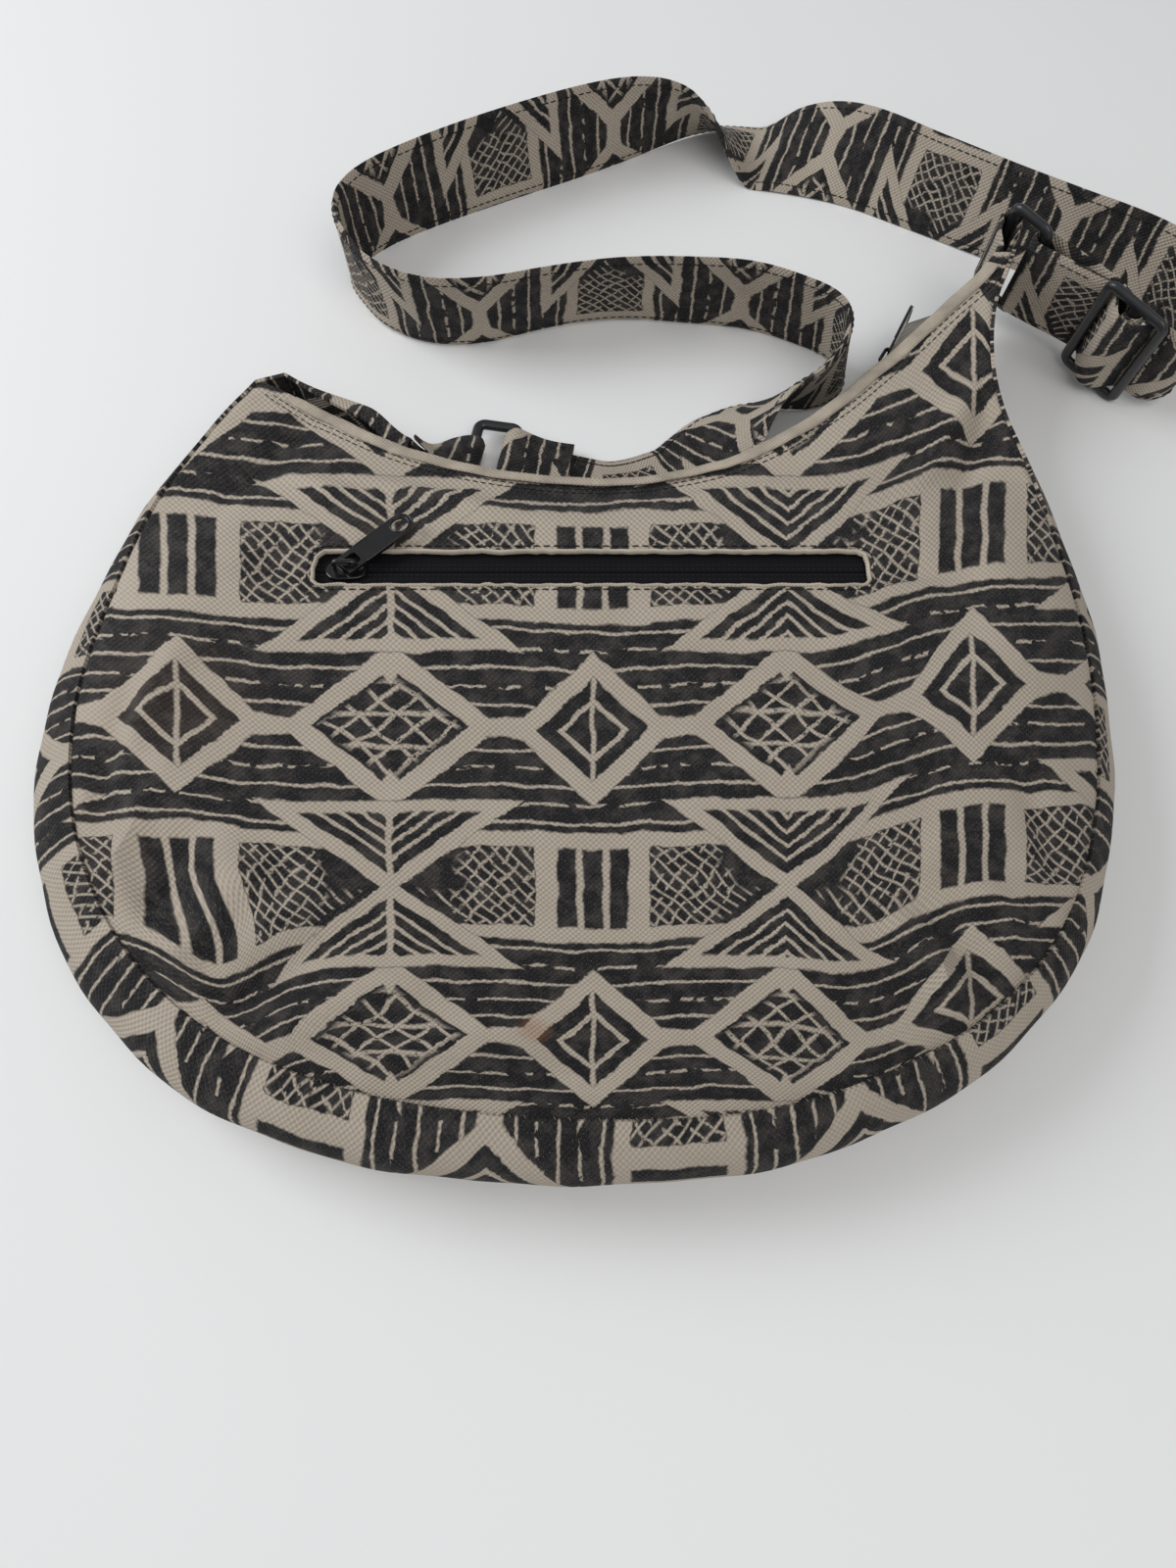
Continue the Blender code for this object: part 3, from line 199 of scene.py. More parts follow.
def smooth_curve(points, count):
    """Points evenly spaced along a Catmull-Rom curve through the given ones."""
    pts = np.asarray(points, float)
    ends = np.vstack([2 * pts[0] - pts[1], pts, 2 * pts[-1] - pts[-2]])
    dense = []
    for i in range(1, len(ends) - 2):
        p0, p1, p2, p3 = ends[i - 1 : i + 3]
        for s in np.linspace(0, 1, 24, endpoint=False):
            dense.append(
                0.5 * (2 * p1 + (p2 - p0) * s + (2 * p0 - 5 * p1 + 4 * p2 - p3) * s * s
                       + (3 * p1 - p0 - 3 * p2 + p3) * s**3)
            )
    dense.append(ends[-2])
    dense = np.array(dense)
    along = travelled(dense[:, :3])
    wanted = np.linspace(0, along[-1], count)
    return np.stack([np.interp(wanted, along, dense[:, k]) for k in range(dense.shape[1])], 1)


def smooth_step(x):
    x = np.clip(x, 0.0, 1.0)
    return x * x * (3 - 2 * x)


def along_table(table, shares):
    """A smooth curve through the (share, millimetres) pairs of a table."""
    keys = np.array([k for k, _ in table], float)
    values = np.array([v for _, v in table], float) * MM
    slopes = np.gradient(values, keys)
    shares = np.asarray(shares, float)
    k = np.clip(np.searchsorted(keys, shares, side="right") - 1, 0, len(keys) - 2)
    step = keys[k + 1] - keys[k]
    s = np.clip((shares - keys[k]) / step, 0, 1)
    return (
        (2 * s**3 - 3 * s**2 + 1) * values[k] + (s**3 - 2 * s**2 + s) * step * slopes[k]
        + (3 * s**2 - 2 * s**3) * values[k + 1] + (s**3 - s**2) * step * slopes[k + 1]
    )


def unit(v):
    v = np.asarray(v, float)
    return v / np.maximum(np.linalg.norm(v, axis=-1, keepdims=True), 1e-12)


def body_xy(shares):
    pts = np.asarray(shares, float)
    return pts * (BODY_WIDTH, BODY_LENGTH) + (0.0, MOUTH_Y)


def height_scale():
    return CROWN_HEIGHT / (49 * MM)


def seam(count=COLUMNS):
    """The seam from crease to tip: middle of the gusset, its up and outward directions,
    half its height, and the share of the way."""
    xy = smooth_curve(body_xy(SEAM_XY), count)
    share = np.linspace(0, 1, count)
    top = along_table(SEAM_TOP, share) * height_scale()
    foot = along_table(SEAM_FOOT, share) * BACK_LIFT / (3 * MM)
    heading = unit(np.gradient(xy, axis=0))
    outward = np.column_stack([heading[:, 1], -heading[:, 0], np.zeros(count)])
    tilt = smooth_step((share - 0.9) / 0.1)[:, None]
    up = unit(np.array([0, 0, 1.0]) * (1 - tilt) + np.array(TIP_UP) * tilt)
    middle = np.column_stack([xy, (top + foot) / 2])
    return middle, up, outward, (top - foot) / 2, share


def mouth(count=COLUMNS):
    dense = smooth_curve(body_xy(MOUTH_XY), 400)
    share = np.linspace(0, 1, count)
    # towards the right horn each station sits further back, so that rows cross squarely
    share = share - 0.45 * share * (1 - share) * smooth_step((share - 0.5) / 0.3)
    xy = np.column_stack([np.interp(share, np.linspace(0, 1, 400), dense[:, k]) for k in (0, 1)])
    top = along_table(MOUTH_TOP, share) * MOUTH_HEIGHT / (27 * MM)
    return np.column_stack([xy, top])


def crown(y):
    """Height of the front panel away from its seams."""
    low, high = CROWN_Y[0][0], CROWN_Y[-1][0]
    return along_table(CROWN_Y, np.clip(np.asarray(y, float) / MM, low, high)) * height_scale()


def from_mouth_centre(points):
    """Unit directions away from the axis of the mouth arc, and angles along the arc."""
    away = unit(points[..., :2] - np.array(MOUTH_CENTRE))
    angle = np.degrees(np.arctan2(away[..., 0], -away[..., 1]))
    return away, angle


def back_mouth(count=COLUMNS):
    """Mouth edge of the back panel, which reaches less far than the front edge."""
    edge = mouth(count)
    away, angle = from_mouth_centre(edge)
    radius = np.linalg.norm(edge[:, :2] - np.array(MOUTH_CENTRE), axis=1)
    fade = smooth_step((64 - angle) / 10) * smooth_step((angle + 50) / 10)
    target = radius * (1 - fade) + MOUTH_FOOT_RADIUS * fade
    return np.array(MOUTH_CENTRE) + away * np.maximum(target, radius + 0.5 * MM)[:, None]


def front_at(share_from_mouth, start, end):
    """Height of the front panel at a share of the way from mouth points to seam points."""
    v = share_from_mouth
    span = np.linalg.norm((end - start)[..., :2], axis=-1)
    xyz = start * (1 - v[..., None]) + end * v[..., None]
    rounded = 1 - (1 - np.clip((1 - v) * span / EDGE_FALL, 0, 1)) ** 2.2
    inside = smooth_step(v * span / (28 * MM)) * rounded
    xyz[..., 2] += (crown(xyz[..., 1]) - xyz[..., 2]) * inside
    return xyz


def grid_normals(grid, towards):
    normals = unit(np.cross(np.gradient(grid, axis=1), np.gradient(grid, axis=0)))
    return normals * np.sign(np.sum(normals * towards))


def slot_matrix():
    """Frame of the pocket zip: along the slot, up the slope, out of the panel."""
    low, high = SLOT_Y - SLOT_HEIGHT / 2, SLOT_Y + SLOT_HEIGHT / 2
    z_low, z, z_high = (float(crown(y)) for y in (low, SLOT_Y, high))
    up = Vector((0, high - low, z_high - z_low)).normalized()
    along = Vector((1, 0, 0))
    turn = Matrix((along, up, along.cross(up))).transposed().to_4x4()
    return Matrix.Translation((SLOT_X, SLOT_Y, z)) @ turn


def mouth_matrix(angle):
    """Frame on the mouth arc: along the zip, up the wall, out of the bag."""
    a = math.radians(angle)
    along = Vector((math.cos(a), math.sin(a), 0))
    out = Vector((-math.sin(a), math.cos(a), 0))
    middle = Vector((*MOUTH_CENTRE, MOUTH_ZIP_HEIGHT)) - out * MOUTH_RADIUS
    turn = Matrix((along, Vector((0, 0, 1)), out)).transposed().to_4x4()
    return Matrix.Translation(middle) @ turn


def rounded_outline(length, height, radius, steps=4):
    pts = []
    for cx, cy, start in ((1, 1, 0), (-1, 1, 90), (-1, -1, 180), (1, -1, 270)):
        for k in range(steps + 1):
            a = math.radians(start + 90 * k / steps)
            x = cx * (length / 2 - radius) + radius * math.cos(a)
            y = cy * (height / 2 - radius) + radius * math.sin(a)
            pts.append((x, y))
    return pts


def belt(circles, start, last_turn):
    """Path of a strap over bars. Each circle is (u, n, radius, turn), turn +1 leftward."""
    path = [np.array(start, float)]
    previous = (start[0], start[1], 0.0, 1)
    departures = []
    arrivals = []
    for circle in circles:
        (u0, n0, r0, s0), (u1, n1, r1, s1) = previous, circle
        length = math.hypot(u1 - u0, n1 - n0)
        heading = math.atan2(n1 - n0, u1 - u0) - math.asin((s1 * r1 - s0 * r0) / length)
        left = np.array([-math.sin(heading), math.cos(heading)])
        departures.append((np.array([u0, n0]) - s0 * r0 * left, heading))
        arrivals.append((np.array([u1, n1]) - s1 * r1 * left, heading))
        previous = circle
    for k, (u, n, radius, s) in enumerate(circles):
        begin = arrivals[k][1]
        end = departures[k + 1][1] if k + 1 < len(circles) else begin + s * last_turn
        swing = (end - begin) * s % (2 * math.pi) * s
        if abs(swing) > math.pi * 1.9:
            swing = 0.0
        steps = max(2, int(abs(swing) / math.radians(24)) + 1)
        for angle in np.linspace(begin, begin + swing, steps):
            left = np.array([-math.sin(angle), math.cos(angle)])
            path.append(np.array([u, n]) - s * radius * left)
    return np.array(path)


def right_belt():
    u, w = unit(RIGHT_OUT), unit(RIGHT_UP)
    n = unit(np.cross(w, u))
    near = BAR / 2 + LOOP_SLACK + STRAP_THICK / 2
    second = near + STRAP_THICK + GAP
    centre, pitch = ADJUSTER_DISTANCE, ADJUSTER_PITCH
    circles = [(centre + pitch, 0, near, 1), (centre, 0, second, -1), (centre - pitch, 0, near, 1),
               (0, 0, near, -1), (centre - pitch, 0, second, -1), (centre, 0, near, -1)]
    entry = [(centre + pitch + a * MM, b * MM) for a, b in ((13, 15), (12.5, 11), (10.5, 7.5))]
    flat = belt(circles, (centre + pitch + 7 * MM, 5 * MM), math.radians(205))
    flat = np.vstack([np.array(entry), flat])
    base = np.array(RIGHT_BAR)
    return [(base + u * a + n * b, -w) for a, b in flat]


def left_loop():
    u, w = unit(LEFT_OUT), unit(LEFT_UP)
    radius = BAR / 2 + LOOP_SLACK + STRAP_THICK / 2
    bar = np.array(LEFT_BAR)
    low = bar[2] - radius
    over = low + STRAP_THICK + GAP
    rows = [(TAIL + 6 * MM, over), (TAIL, over)]
    rows += [(TAIL * 0.7, over + 0.6 * MM), (TAIL * 0.4, over + 2.2 * MM)]
    pts = [(np.array([*(bar + u * a)[:2], z]), w) for a, z in rows]
    for k in range(9):
        a = math.radians(65 + 205 * k / 8)
        pts.append((bar + u * radius * math.cos(a) + np.array([0, 0, radius * math.sin(a)]), w))
    return pts


FINE = 200  # stations along the seam

# Camera, fitted to the photo: focal length in pixels, tilt below level, height
FOCAL = 1155.0
TILT = math.radians(66)
EYE = (0.0, -150 * MM, 345 * MM)
PHOTO_HEIGHT = 1600
PHOTO_MIDDLE = (600, 800)

# Pixels of the photo: the print's middle and rows, and a hatched cell of the strap
PRINT_MIDDLE = 605
PRINT_ROWS = (-85, 80, 245, 410, 575, 740, 905, 1058, 1195, 1330, 1465)
STRAP_CELL = (612, 300)
# Sags of the print: middle and width, top and fall, shift across and down
SAGS = ((215, 62, 880, 85, -26, 46), (905, 60, 900, 60, 12, 20))
SAG_EDGE = 120
# Stretches where the rows run lower: drop, where it begins, and over what width
DROPS = ((42, 830, 170), (12, 300, -150))

# The print: one repeat is one across and one down, in metres
REPEAT = (0.115, 0.104)


# Node materials

class Value:
    """A node output; plain arithmetic on it adds Math nodes."""

    def __init__(self, tree, out):
        self.tree = tree
        self.out = out

    def math(self, operation, *others, clamp=False):
        node = self.tree.nodes.new("ShaderNodeMath")
        node.operation = operation
        node.use_clamp = clamp
        for k, item in enumerate((self, *others)):
            if isinstance(item, Value):
                self.tree.links.new(item.out, node.inputs[k])
            else:
                node.inputs[k].default_value = item
        return Value(self.tree, node.outputs[0])

    def __add__(self, other):
        return self.math("ADD", other)

    def __sub__(self, other):
        return self.math("SUBTRACT", other)

    def __mul__(self, other):
        return self.math("MULTIPLY", other)

    def negative(self):
        return self.math("MULTIPLY", -1.0)

    def less(self, limit):
        return self.math("SUBTRACT", limit).negative()

    def abs(self):
        return self.math("ABSOLUTE")

    def fold(self, period):
        """Signed distance to the nearest multiple of a period."""
        return self.math("WRAP", period / 2, -period / 2)

    def inside(self, softness=0.006):
        """One where the value is positive, nought where negative, with a soft edge."""
        return self.math("MULTIPLY_ADD", 1 / softness, 0.5, clamp=True)

    def both(self, other):
        return self.math("MINIMUM", other)

    def either(self, other):
        return self.math("MAXIMUM", other)

    def without(self, other):
        return self.math("SUBTRACT", other, clamp=True)


def new_material(name, roughness=0.8, metallic=0.0):
    made = bpy.data.materials.new(name)
    made.use_nodes = True
    tree = made.node_tree
    shader = tree.nodes["Principled BSDF"]
    shader.inputs["Roughness"].default_value = roughness
    shader.inputs["Metallic"].default_value = metallic
    return made, tree, shader


def noise(tree, vector, scale, detail=3.0, roughness=0.55):
    node = tree.nodes.new("ShaderNodeTexNoise")
    node.inputs["Scale"].default_value = scale
    node.inputs["Detail"].default_value = detail
    node.inputs["Roughness"].default_value = roughness
    tree.links.new(vector, node.inputs["Vector"])
    return Value(tree, node.outputs["Fac"])


def mix(tree, share, first, second):
    node = tree.nodes.new("ShaderNodeMix")
    node.data_type = "RGBA"
    for item, socket in ((share, "Factor"), (first, "A"), (second, "B")):
        target = node.inputs[socket]
        if isinstance(item, Value):
            tree.links.new(item.out, target)
        elif hasattr(item, "is_output"):
            tree.links.new(item, target)
        else:
            target.default_value = item if not isinstance(item, tuple) else (*item, 1.0)
    return node.outputs["Result"]


def bump(tree, shader, height, distance, strength=1.0):
    node = tree.nodes.new("ShaderNodeBump")
    node.inputs["Distance"].default_value = distance
    node.inputs["Strength"].default_value = strength
    tree.links.new(height.out, node.inputs["Height"])
    tree.links.new(node.outputs["Normal"], shader.inputs["Normal"])


def uv_output(tree, name):
    node = tree.nodes.new("ShaderNodeUVMap")
    node.uv_map = name
    return node.outputs["UV"]


def object_output(tree):
    return tree.nodes.new("ShaderNodeTexCoord").outputs["Object"]


def axes_of(tree, vector):
    node = tree.nodes.new("ShaderNodeSeparateXYZ")
    tree.links.new(vector, node.inputs[0])
    return [Value(tree, node.outputs[k]) for k in range(3)]


def print_mask(tree, p, q, vector):
    """One where the cloth is left light. p and q count repeats across and down.

    Sizes below are shares of a repeat: diamonds in a row, and half a row lower the bows
    with barred boxes and hatched cells between them.
    """
    wide, high = 1.025, 0.78
    rough = noise(tree, vector, 9.0, 2.0)
    rough_other = noise(tree, vector, 11.0, 2.0)
    fine = noise(tree, vector, 80.0, 2.0)
    x = p * wide + (rough - 0.5) * 0.024 + (fine - 0.5) * 0.009
    y = q * high + (rough_other - 0.5) * 0.024 + (fine - 0.5) * 0.009
    from_ring_x = x.fold(wide).abs()
    cross_x = (x - wide / 2).fold(wide)
    from_cross_x = cross_x.abs()
    every_other = (x - wide / 2).fold(2 * wide).abs()
    row_y = y.fold(high)
    from_row = row_y.abs()
    half_y = (y - high / 2).fold(high)
    from_half = half_y.abs()

    ring = from_ring_x + from_row * 1.115
    outer_ring = ring.less(0.213).inside()
    dark_ring = ring.less(0.146).inside()
    light_ring = ring.less(0.094).inside()
    core = ring.less(0.074).inside()
    spine = from_ring_x.less(0.0065).inside()
    neck_x = (from_ring_x - 0.26)
    neck = (from_row - neck_x * neck_x * 1.3).less(0.022).inside()

    diamond = from_cross_x + from_row * 1.345
    outer_diamond = diamond.less(0.275).inside()
    dark_diamond = diamond.less(0.196).inside()
    dip = (from_cross_x - from_row * 0.6 + 0.062).less(0.0).inside()
    tilt = (noise(tree, vector, 8.0, 0.0, 0.5) - 0.5) * 0.06
    grid_a = (cross_x + row_y * 1.25 + 0.02 + tilt).fold(0.088).abs().less(0.0075).inside()
    grid_b = (cross_x - row_y * 1.25 + 0.045 - tilt).fold(0.098).abs().less(0.0075).inside()
    grid_c = (row_y + 0.03 + tilt * 0.5).fold(0.083).abs().less(0.006).inside()
    worn = (fine - 0.36).inside(0.1)
    diamond_lines = grid_a.either(grid_b).either(grid_c).both(diamond.less(0.172).inside(0.03)).both(worn)

    slope = from_half * 1.5 - from_cross_x
    bow = (slope + 0.022).inside().both(from_half.less(0.208).inside())
    feather = slope - 0.040
    stripes = feather.fold(0.052).abs().less(0.0082).inside().both((feather - 0.02).inside())
    feather_dark = feather.inside().both(from_half.less(0.178).inside())
    midrib = from_cross_x.less(0.0085).inside().both((every_other - wide / 2).inside())
    feather_dark = feather_dark.without(stripes).without(midrib)

    frame_box = from_ring_x.less(0.15).inside().both(from_half.less(0.135).inside())
    bar_a = from_ring_x.less(0.025).inside()
    bar_b = (from_ring_x - 0.067).abs().less(0.0245).inside()
    bars = bar_a.either(bar_b).both(from_half.less(0.098).inside())
    rail = (from_half - 0.114).abs().less(0.0185).inside()

    dashes = noise(tree, vector, 26.0, 1.0, 0.5)
    cell = (from_half.less(0.096)).inside().both((slope + 0.055).negative().inside())
    drift = (noise(tree, vector, 10.0, 0.0, 0.5) - 0.5) * 0.03
    wander = (rough_other - 0.5) * 0.03
    hatch_a = (cross_x + half_y * 0.95 + drift + wander).fold(0.045).abs().less(0.0042).inside()
    hatch_b = (cross_x - half_y * 1.15 + 0.01 - drift + wander).fold(0.037).abs().less(0.0040).inside()
    hatch_a = hatch_a.both((dashes - 0.40).inside(0.03))
    hatch_zone = (from_cross_x - 0.17 + (rough - 0.5) * 0.2).inside(0.02)
    fan_zone = (from_cross_x - 0.05).inside(0.02).both((half_y - 0.01).inside(0.02))
    hatch = hatch_a.either(hatch_b).both(hatch_zone).either(hatch_b.both(fan_zone)).both(worn)

    level = from_half - 0.155
    solid = level.fold(0.09).abs().less(0.0036).inside(0.004)
    dashed = (level - 0.045).fold(0.09).abs().less(0.0034).inside(0.004).both((dashes - 0.485).inside(0.02))
    streaks = solid.either(dashed).both((from_half - 0.15).inside())

    light = outer_ring.either(neck).either(outer_diamond).either(frame_box).either(rail)
    light = light.without(bow).either(bow)
    in_cell = cell.without(frame_box)
    light = light.without(in_cell).either(in_cell.both(hatch))
    light = light.without(bars.both(frame_box))
    light = light.without(dark_ring).either(light_ring).without(core).either(spine.both(dark_ring))
    dark_field = dark_diamond.without(dip.both((from_row - 0.09).inside()))
    light = light.without(dark_field).either(diamond_lines.both(dark_diamond))
    light = light.without(feather_dark.both(bow))
    return light.either(streaks.without(bow).without(outer_ring.either(outer_diamond)))


def weave_height(tree, p, q):
    """Plain weave: crossed threads about 0.85 mm apart."""
    along = (p * (REPEAT[0] / 0.00085 * math.pi)).math("SINE")
    down = (q * (REPEAT[1] / 0.00085 * math.pi)).math("SINE")
    return along * down


def scaled(colour, factor):
    return tuple(c * factor for c in colour)


def printed_canvas(name, light=(0.475, 0.415, 0.345), dark=(0.0125, 0.0120, 0.0135), stains=()):
    made, tree, shader = new_material(name, 0.92)
    vector = uv_output(tree, "fabric")
    p, q, _ = axes_of(tree, vector)
    mask = print_mask(tree, p, q, vector)
    weave = weave_height(tree, p, q)
    speck = noise(tree, vector, 330.0, 2.0, 0.7)
    blotch = noise(tree, vector, 5.0, 4.0)
    fading = noise(tree, vector, 16.0, 4.0, 0.65)
    mask = mask.without((speck - 0.66).inside(0.06) * 0.35)
    mask = mask.either(speck.less(0.355).inside(0.05) * 0.42).either((fading - 0.54).inside(0.16) * 0.07)
    soiled = tuple(c * k for c, k in zip(light, (0.80, 0.78, 0.76), strict=True))
    pale = mix(tree, (blotch - 0.5) * 1.2 + 0.35, light, soiled)
    deep = mix(tree, (fading - 0.5) * 1.6 + 0.35, dark, scaled(dark, 1.75))
    colour = mix(tree, mask, deep, pale)
    # Painted shade: the weave height darkens the colour in the thread hollows and lightens it on the crests,
    # on top of the bump.
    threads = mix(tree, weave * 0.5 + 0.5, (0.80, 0.80, 0.80), (1.16, 1.16, 1.16))
    shade = tree.nodes.new("ShaderNodeMix")
    shade.data_type = "RGBA"
    shade.blend_type = "MULTIPLY"
    shade.inputs["Factor"].default_value = 1.0
    tree.links.new(colour, shade.inputs["A"])
    tree.links.new(threads, shade.inputs["B"])
    colour = shade.outputs["Result"]
    for x, y, radius, strength, tint in stains:
        place = tree.nodes.new("ShaderNodeVectorMath")
        place.operation = "DISTANCE"
        tree.links.new(vector, place.inputs[0])
        place.inputs[1].default_value = (x, y, 0.0)
        away = Value(tree, place.outputs["Value"])
        share = ((away + (fading - 0.5) * radius).less(radius)).inside(radius) * strength
        colour = mix(tree, share, colour, tint)
    tree.links.new(colour, shader.inputs["Base Color"])
    shader.inputs["Sheen Weight"].default_value = 0.03
    shader.inputs["Specular IOR Level"].default_value = 0.18
    shader.inputs["Sheen Roughness"].default_value = 0.5
    bump(tree, shader, weave + (speck - 0.5) * 0.8, 0.00022, 0.9)
    return made


def plain_cloth(name, colour, pitch=0.0008, roughness=0.85, variation=0.25):
    """Cloth whose weave follows object space, for pieces that lie nearly flat or are hidden."""
    made, tree, shader = new_material(name, roughness)
    shader.inputs["Specular IOR Level"].default_value = 0.15
    vector = object_output(tree)
    axes = axes_of(tree, vector)
    along = (axes[0] * (math.pi / pitch)).math("SINE")
    down = ((axes[1] + axes[2]) * (math.pi / pitch)).math("SINE")
    weave = along * down
    patch = noise(tree, vector, 120.0, 4.0)
    # The weave term is painted shade, lighter on the thread crests and darker in the hollows; the patch noise
    # adds random tone.
    share = weave * 0.2 + (patch - 0.5) * variation * 2 + 0.5
    tint = mix(tree, share, scaled(colour, 0.7), scaled(colour, 1.3))
    tree.links.new(tint, shader.inputs["Base Color"])
    bump(tree, shader, weave + patch, 0.00012, 0.8)
    return made


def hard_material(name, colour, roughness, metallic=0.0, grain=900.0, coat=0.0):
    """Moulded or enamelled surface with fine grain and worn patches."""
    made, tree, shader = new_material(name, roughness, metallic)
    vector = object_output(tree)
    patch = noise(tree, vector, 160.0, 5.0, 0.6)
    fine = noise(tree, vector, grain, 3.0)
    tint = mix(tree, patch, scaled(colour, 0.75), scaled(colour, 1.35))
    tree.links.new(tint, shader.inputs["Base Color"])
    tree.links.new(((patch - 0.5) * 0.25 + roughness).out, shader.inputs["Roughness"])
    shader.inputs["Coat Weight"].default_value = coat
    bump(tree, shader, fine, 0.00003, 0.6)
    return made


# Meshes

def make_piece(name, verts, faces, look, uvs=None, smooth=45):
    """uvs holds one (u, v) for each vertex, or one for each face corner."""
    mesh = bpy.data.meshes.new(name)
    mesh.from_pydata([tuple(map(float, v)) for v in verts], [], faces)
    if uvs is not None:
        layer = mesh.uv_layers.new(name="fabric")
        index = np.empty(len(mesh.loops), dtype=np.int32)
        mesh.loops.foreach_get("vertex_index", index)
        values = np.asarray(uvs, float)
        values = values[index] if len(values) == len(verts) else values
        layer.data.foreach_set("uv", values.astype(np.float32).ravel())
    bm = bmesh.new()
    bm.from_mesh(mesh)
    bmesh.ops.recalc_face_normals(bm, faces=bm.faces)
    if bm.calc_volume(signed=True) < 0:
        bmesh.ops.reverse_faces(bm, faces=bm.faces)
    bm.to_mesh(mesh)
    bm.free()
    mesh.shade_smooth()
    mesh.set_sharp_from_angle(angle=math.radians(smooth))
    made = bpy.data.objects.new(name, mesh)
    bpy.context.collection.objects.link(made)
    made.data.materials.append(look)
    return made


def sheet_piece(name, outer, inner, uv, look):
    """Closed sheet between two grids; both sides share the uv grid."""
    rows, columns = outer.shape[:2]
    verts = np.vstack([outer.reshape(-1, 3), inner.reshape(-1, 3)])
    half = rows * columns
    grid = np.arange(half).reshape(rows, columns)
    a, b, c, d = (g.ravel() for g in (grid[:-1, :-1], grid[1:, :-1], grid[1:, 1:], grid[:-1, 1:]))
    faces = list(map(tuple, np.stack([a, b, c, d], 1).tolist()))
    faces += list(map(tuple, (np.stack([a, d, c, b], 1) + half).tolist()))
    loop = [*grid[0, :-1], *grid[:-1, -1], *grid[-1, :0:-1], *grid[:0:-1, 0]]
    for k, v in enumerate(loop):
        w = loop[(k + 1) % len(loop)]
        faces.append((int(v), int(w), int(w) + half, int(v) + half))
    uvs = np.vstack([uv.reshape(-1, 2)] * 2)
    return make_piece(name, verts, faces, look, uvs)


def tube_faces(count, corners, closed=False):
    faces = []
    for i in range(count if closed else count - 1):
        k = (i + 1) % count
        for j in range(corners):
            m = (j + 1) % corners
            faces.append((i * corners + j, k * corners + j, k * corners + m, i * corners + m))
    if not closed:
        faces.append(tuple(range(corners)))
        faces.append(tuple((count - 1) * corners + j for j in reversed(range(corners))))
    return faces


def swept(name, frames, section, look, closed=False, uv=None):
    """Sweep a section along frames of (point, side, up); uv gives (along, across) scales."""
    count, corners = len(frames), len(section)
    verts = [p + side * a + up * b for p, side, up in frames for a, b in section]
    uvs = None
    if uv is not None:
        along = travelled(np.array([f[0] for f in frames]))
        uvs = np.array([(uv[0] + a / REPEAT[0], uv[1] + s / REPEAT[1]) for s in along for a, _ in section])
    return make_piece(name, verts, tube_faces(count, corners, closed), look, uvs)


def round_section(diameter, sides=16):
    turns = [2 * math.pi * k / sides for k in range(sides)]
    return [(diameter / 2 * math.cos(a), diameter / 2 * math.sin(a)) for a in turns]


def heading(ring, k, closed=True):
    """Direction of a flat outline at one of its points."""
    before = ring[k - 1] if closed or k else ring[k]
    after = ring[(k + 1) % len(ring)] if closed or k < len(ring) - 1 else ring[k]
    return Vector((after[0] - before[0], after[1] - before[1], 0)).normalized()


def on_place(place, point, side, up=(0, 0, 1)):
    """Point, side and up of a frame, all given along the axes of a place."""
    turn = place.to_3x3()
    return np.array(place @ Vector(point)), np.array(turn @ Vector(side)), np.array(turn @ Vector(up))


def stations(along, first, last, step):
    """Index, and share of the way to the next point, at even steps along a line."""
    for s in np.arange(first, along[-1] - last, step):
        k = int(np.searchsorted(along, s)) - 1
        yield k, (s - along[k]) / max(1e-9, along[k + 1] - along[k])


def dress(piece, body, node, instead=True):
    """Ride a body and, unless told otherwise, take a node's place by hiding that node."""
    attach(piece, body)
    if instead:
        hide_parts(node)


def rest_on_table(piece):
    for vert in piece.data.vertices:
        vert.co.z = max(vert.co.z, -TABLE_DROP)


def webbing_section(width, thick, steps=8):
    """Flat band with rounded, slightly thicker selvedges."""
    pts = []
    half = width / 2
    for x in np.linspace(-half, half, 2 * steps + 1):
        near = abs(x) / half
        selvedge = 1 - 0.9 * max(0.0, (near - 0.94) / 0.06) ** 2
        pts.append((x, thick / 2 * selvedge * (0.9 + 0.1 * near)))
    return pts + [(x, -y) for x, y in reversed(pts)]


def boolean(target, other, operation):
    modifier = target.modifiers.new("shape", "BOOLEAN")
    modifier.operation = operation
    modifier.solver = "EXACT"
    modifier.object = other
    settle(target)
    target.data.shade_smooth()
    target.data.set_sharp_from_angle(angle=math.radians(32))
    bpy.data.objects.remove(other, do_unlink=True)
    return target


def joined(name, parts):
    """Several meshes as one piece, keeping their materials."""
    target = parts[0]
    with bpy.context.temp_override(active_object=target, selected_editable_objects=parts, object=target):
        bpy.ops.object.join()
    target.name = name
    return target


def prism(name, outline, z0, z1, look, place, bevel=0.0):
    count = len(outline)
    verts = [place @ Vector((x, y, z)) for z in (z0, z1) for x, y in outline]
    faces = [tuple(reversed(range(count))), tuple(range(count, 2 * count))]
    faces += [(k, (k + 1) % count, count + (k + 1) % count, count + k) for k in range(count)]
    made = make_piece(name, verts, faces, look, smooth=35)
    if bevel:
        rounding = made.modifiers.new("round", "BEVEL")
        rounding.width = bevel
        rounding.segments = 3
        rounding.limit_method = "ANGLE"
    return made


def settle(piece):
    """Apply a piece's modifiers."""
    bpy.context.view_layer.update()
    graph = bpy.context.evaluated_depsgraph_get()
    shaped = bpy.data.meshes.new_from_object(piece.evaluated_get(graph))
    piece.modifiers.clear()
    piece.data = shaped
    return piece


# Places in the photo

def photo_position(points):
    """Pixel of the photo where each point shows."""
    far = points[..., 1] - EYE[1]
    drop = EYE[2] - points[..., 2]
    depth = drop * math.sin(TILT) + far * math.cos(TILT)
    x = PHOTO_MIDDLE[0] + FOCAL * points[..., 0] / depth
    y = PHOTO_MIDDLE[1] + FOCAL * (drop * math.cos(TILT) - far * math.sin(TILT)) / depth
    return x, y


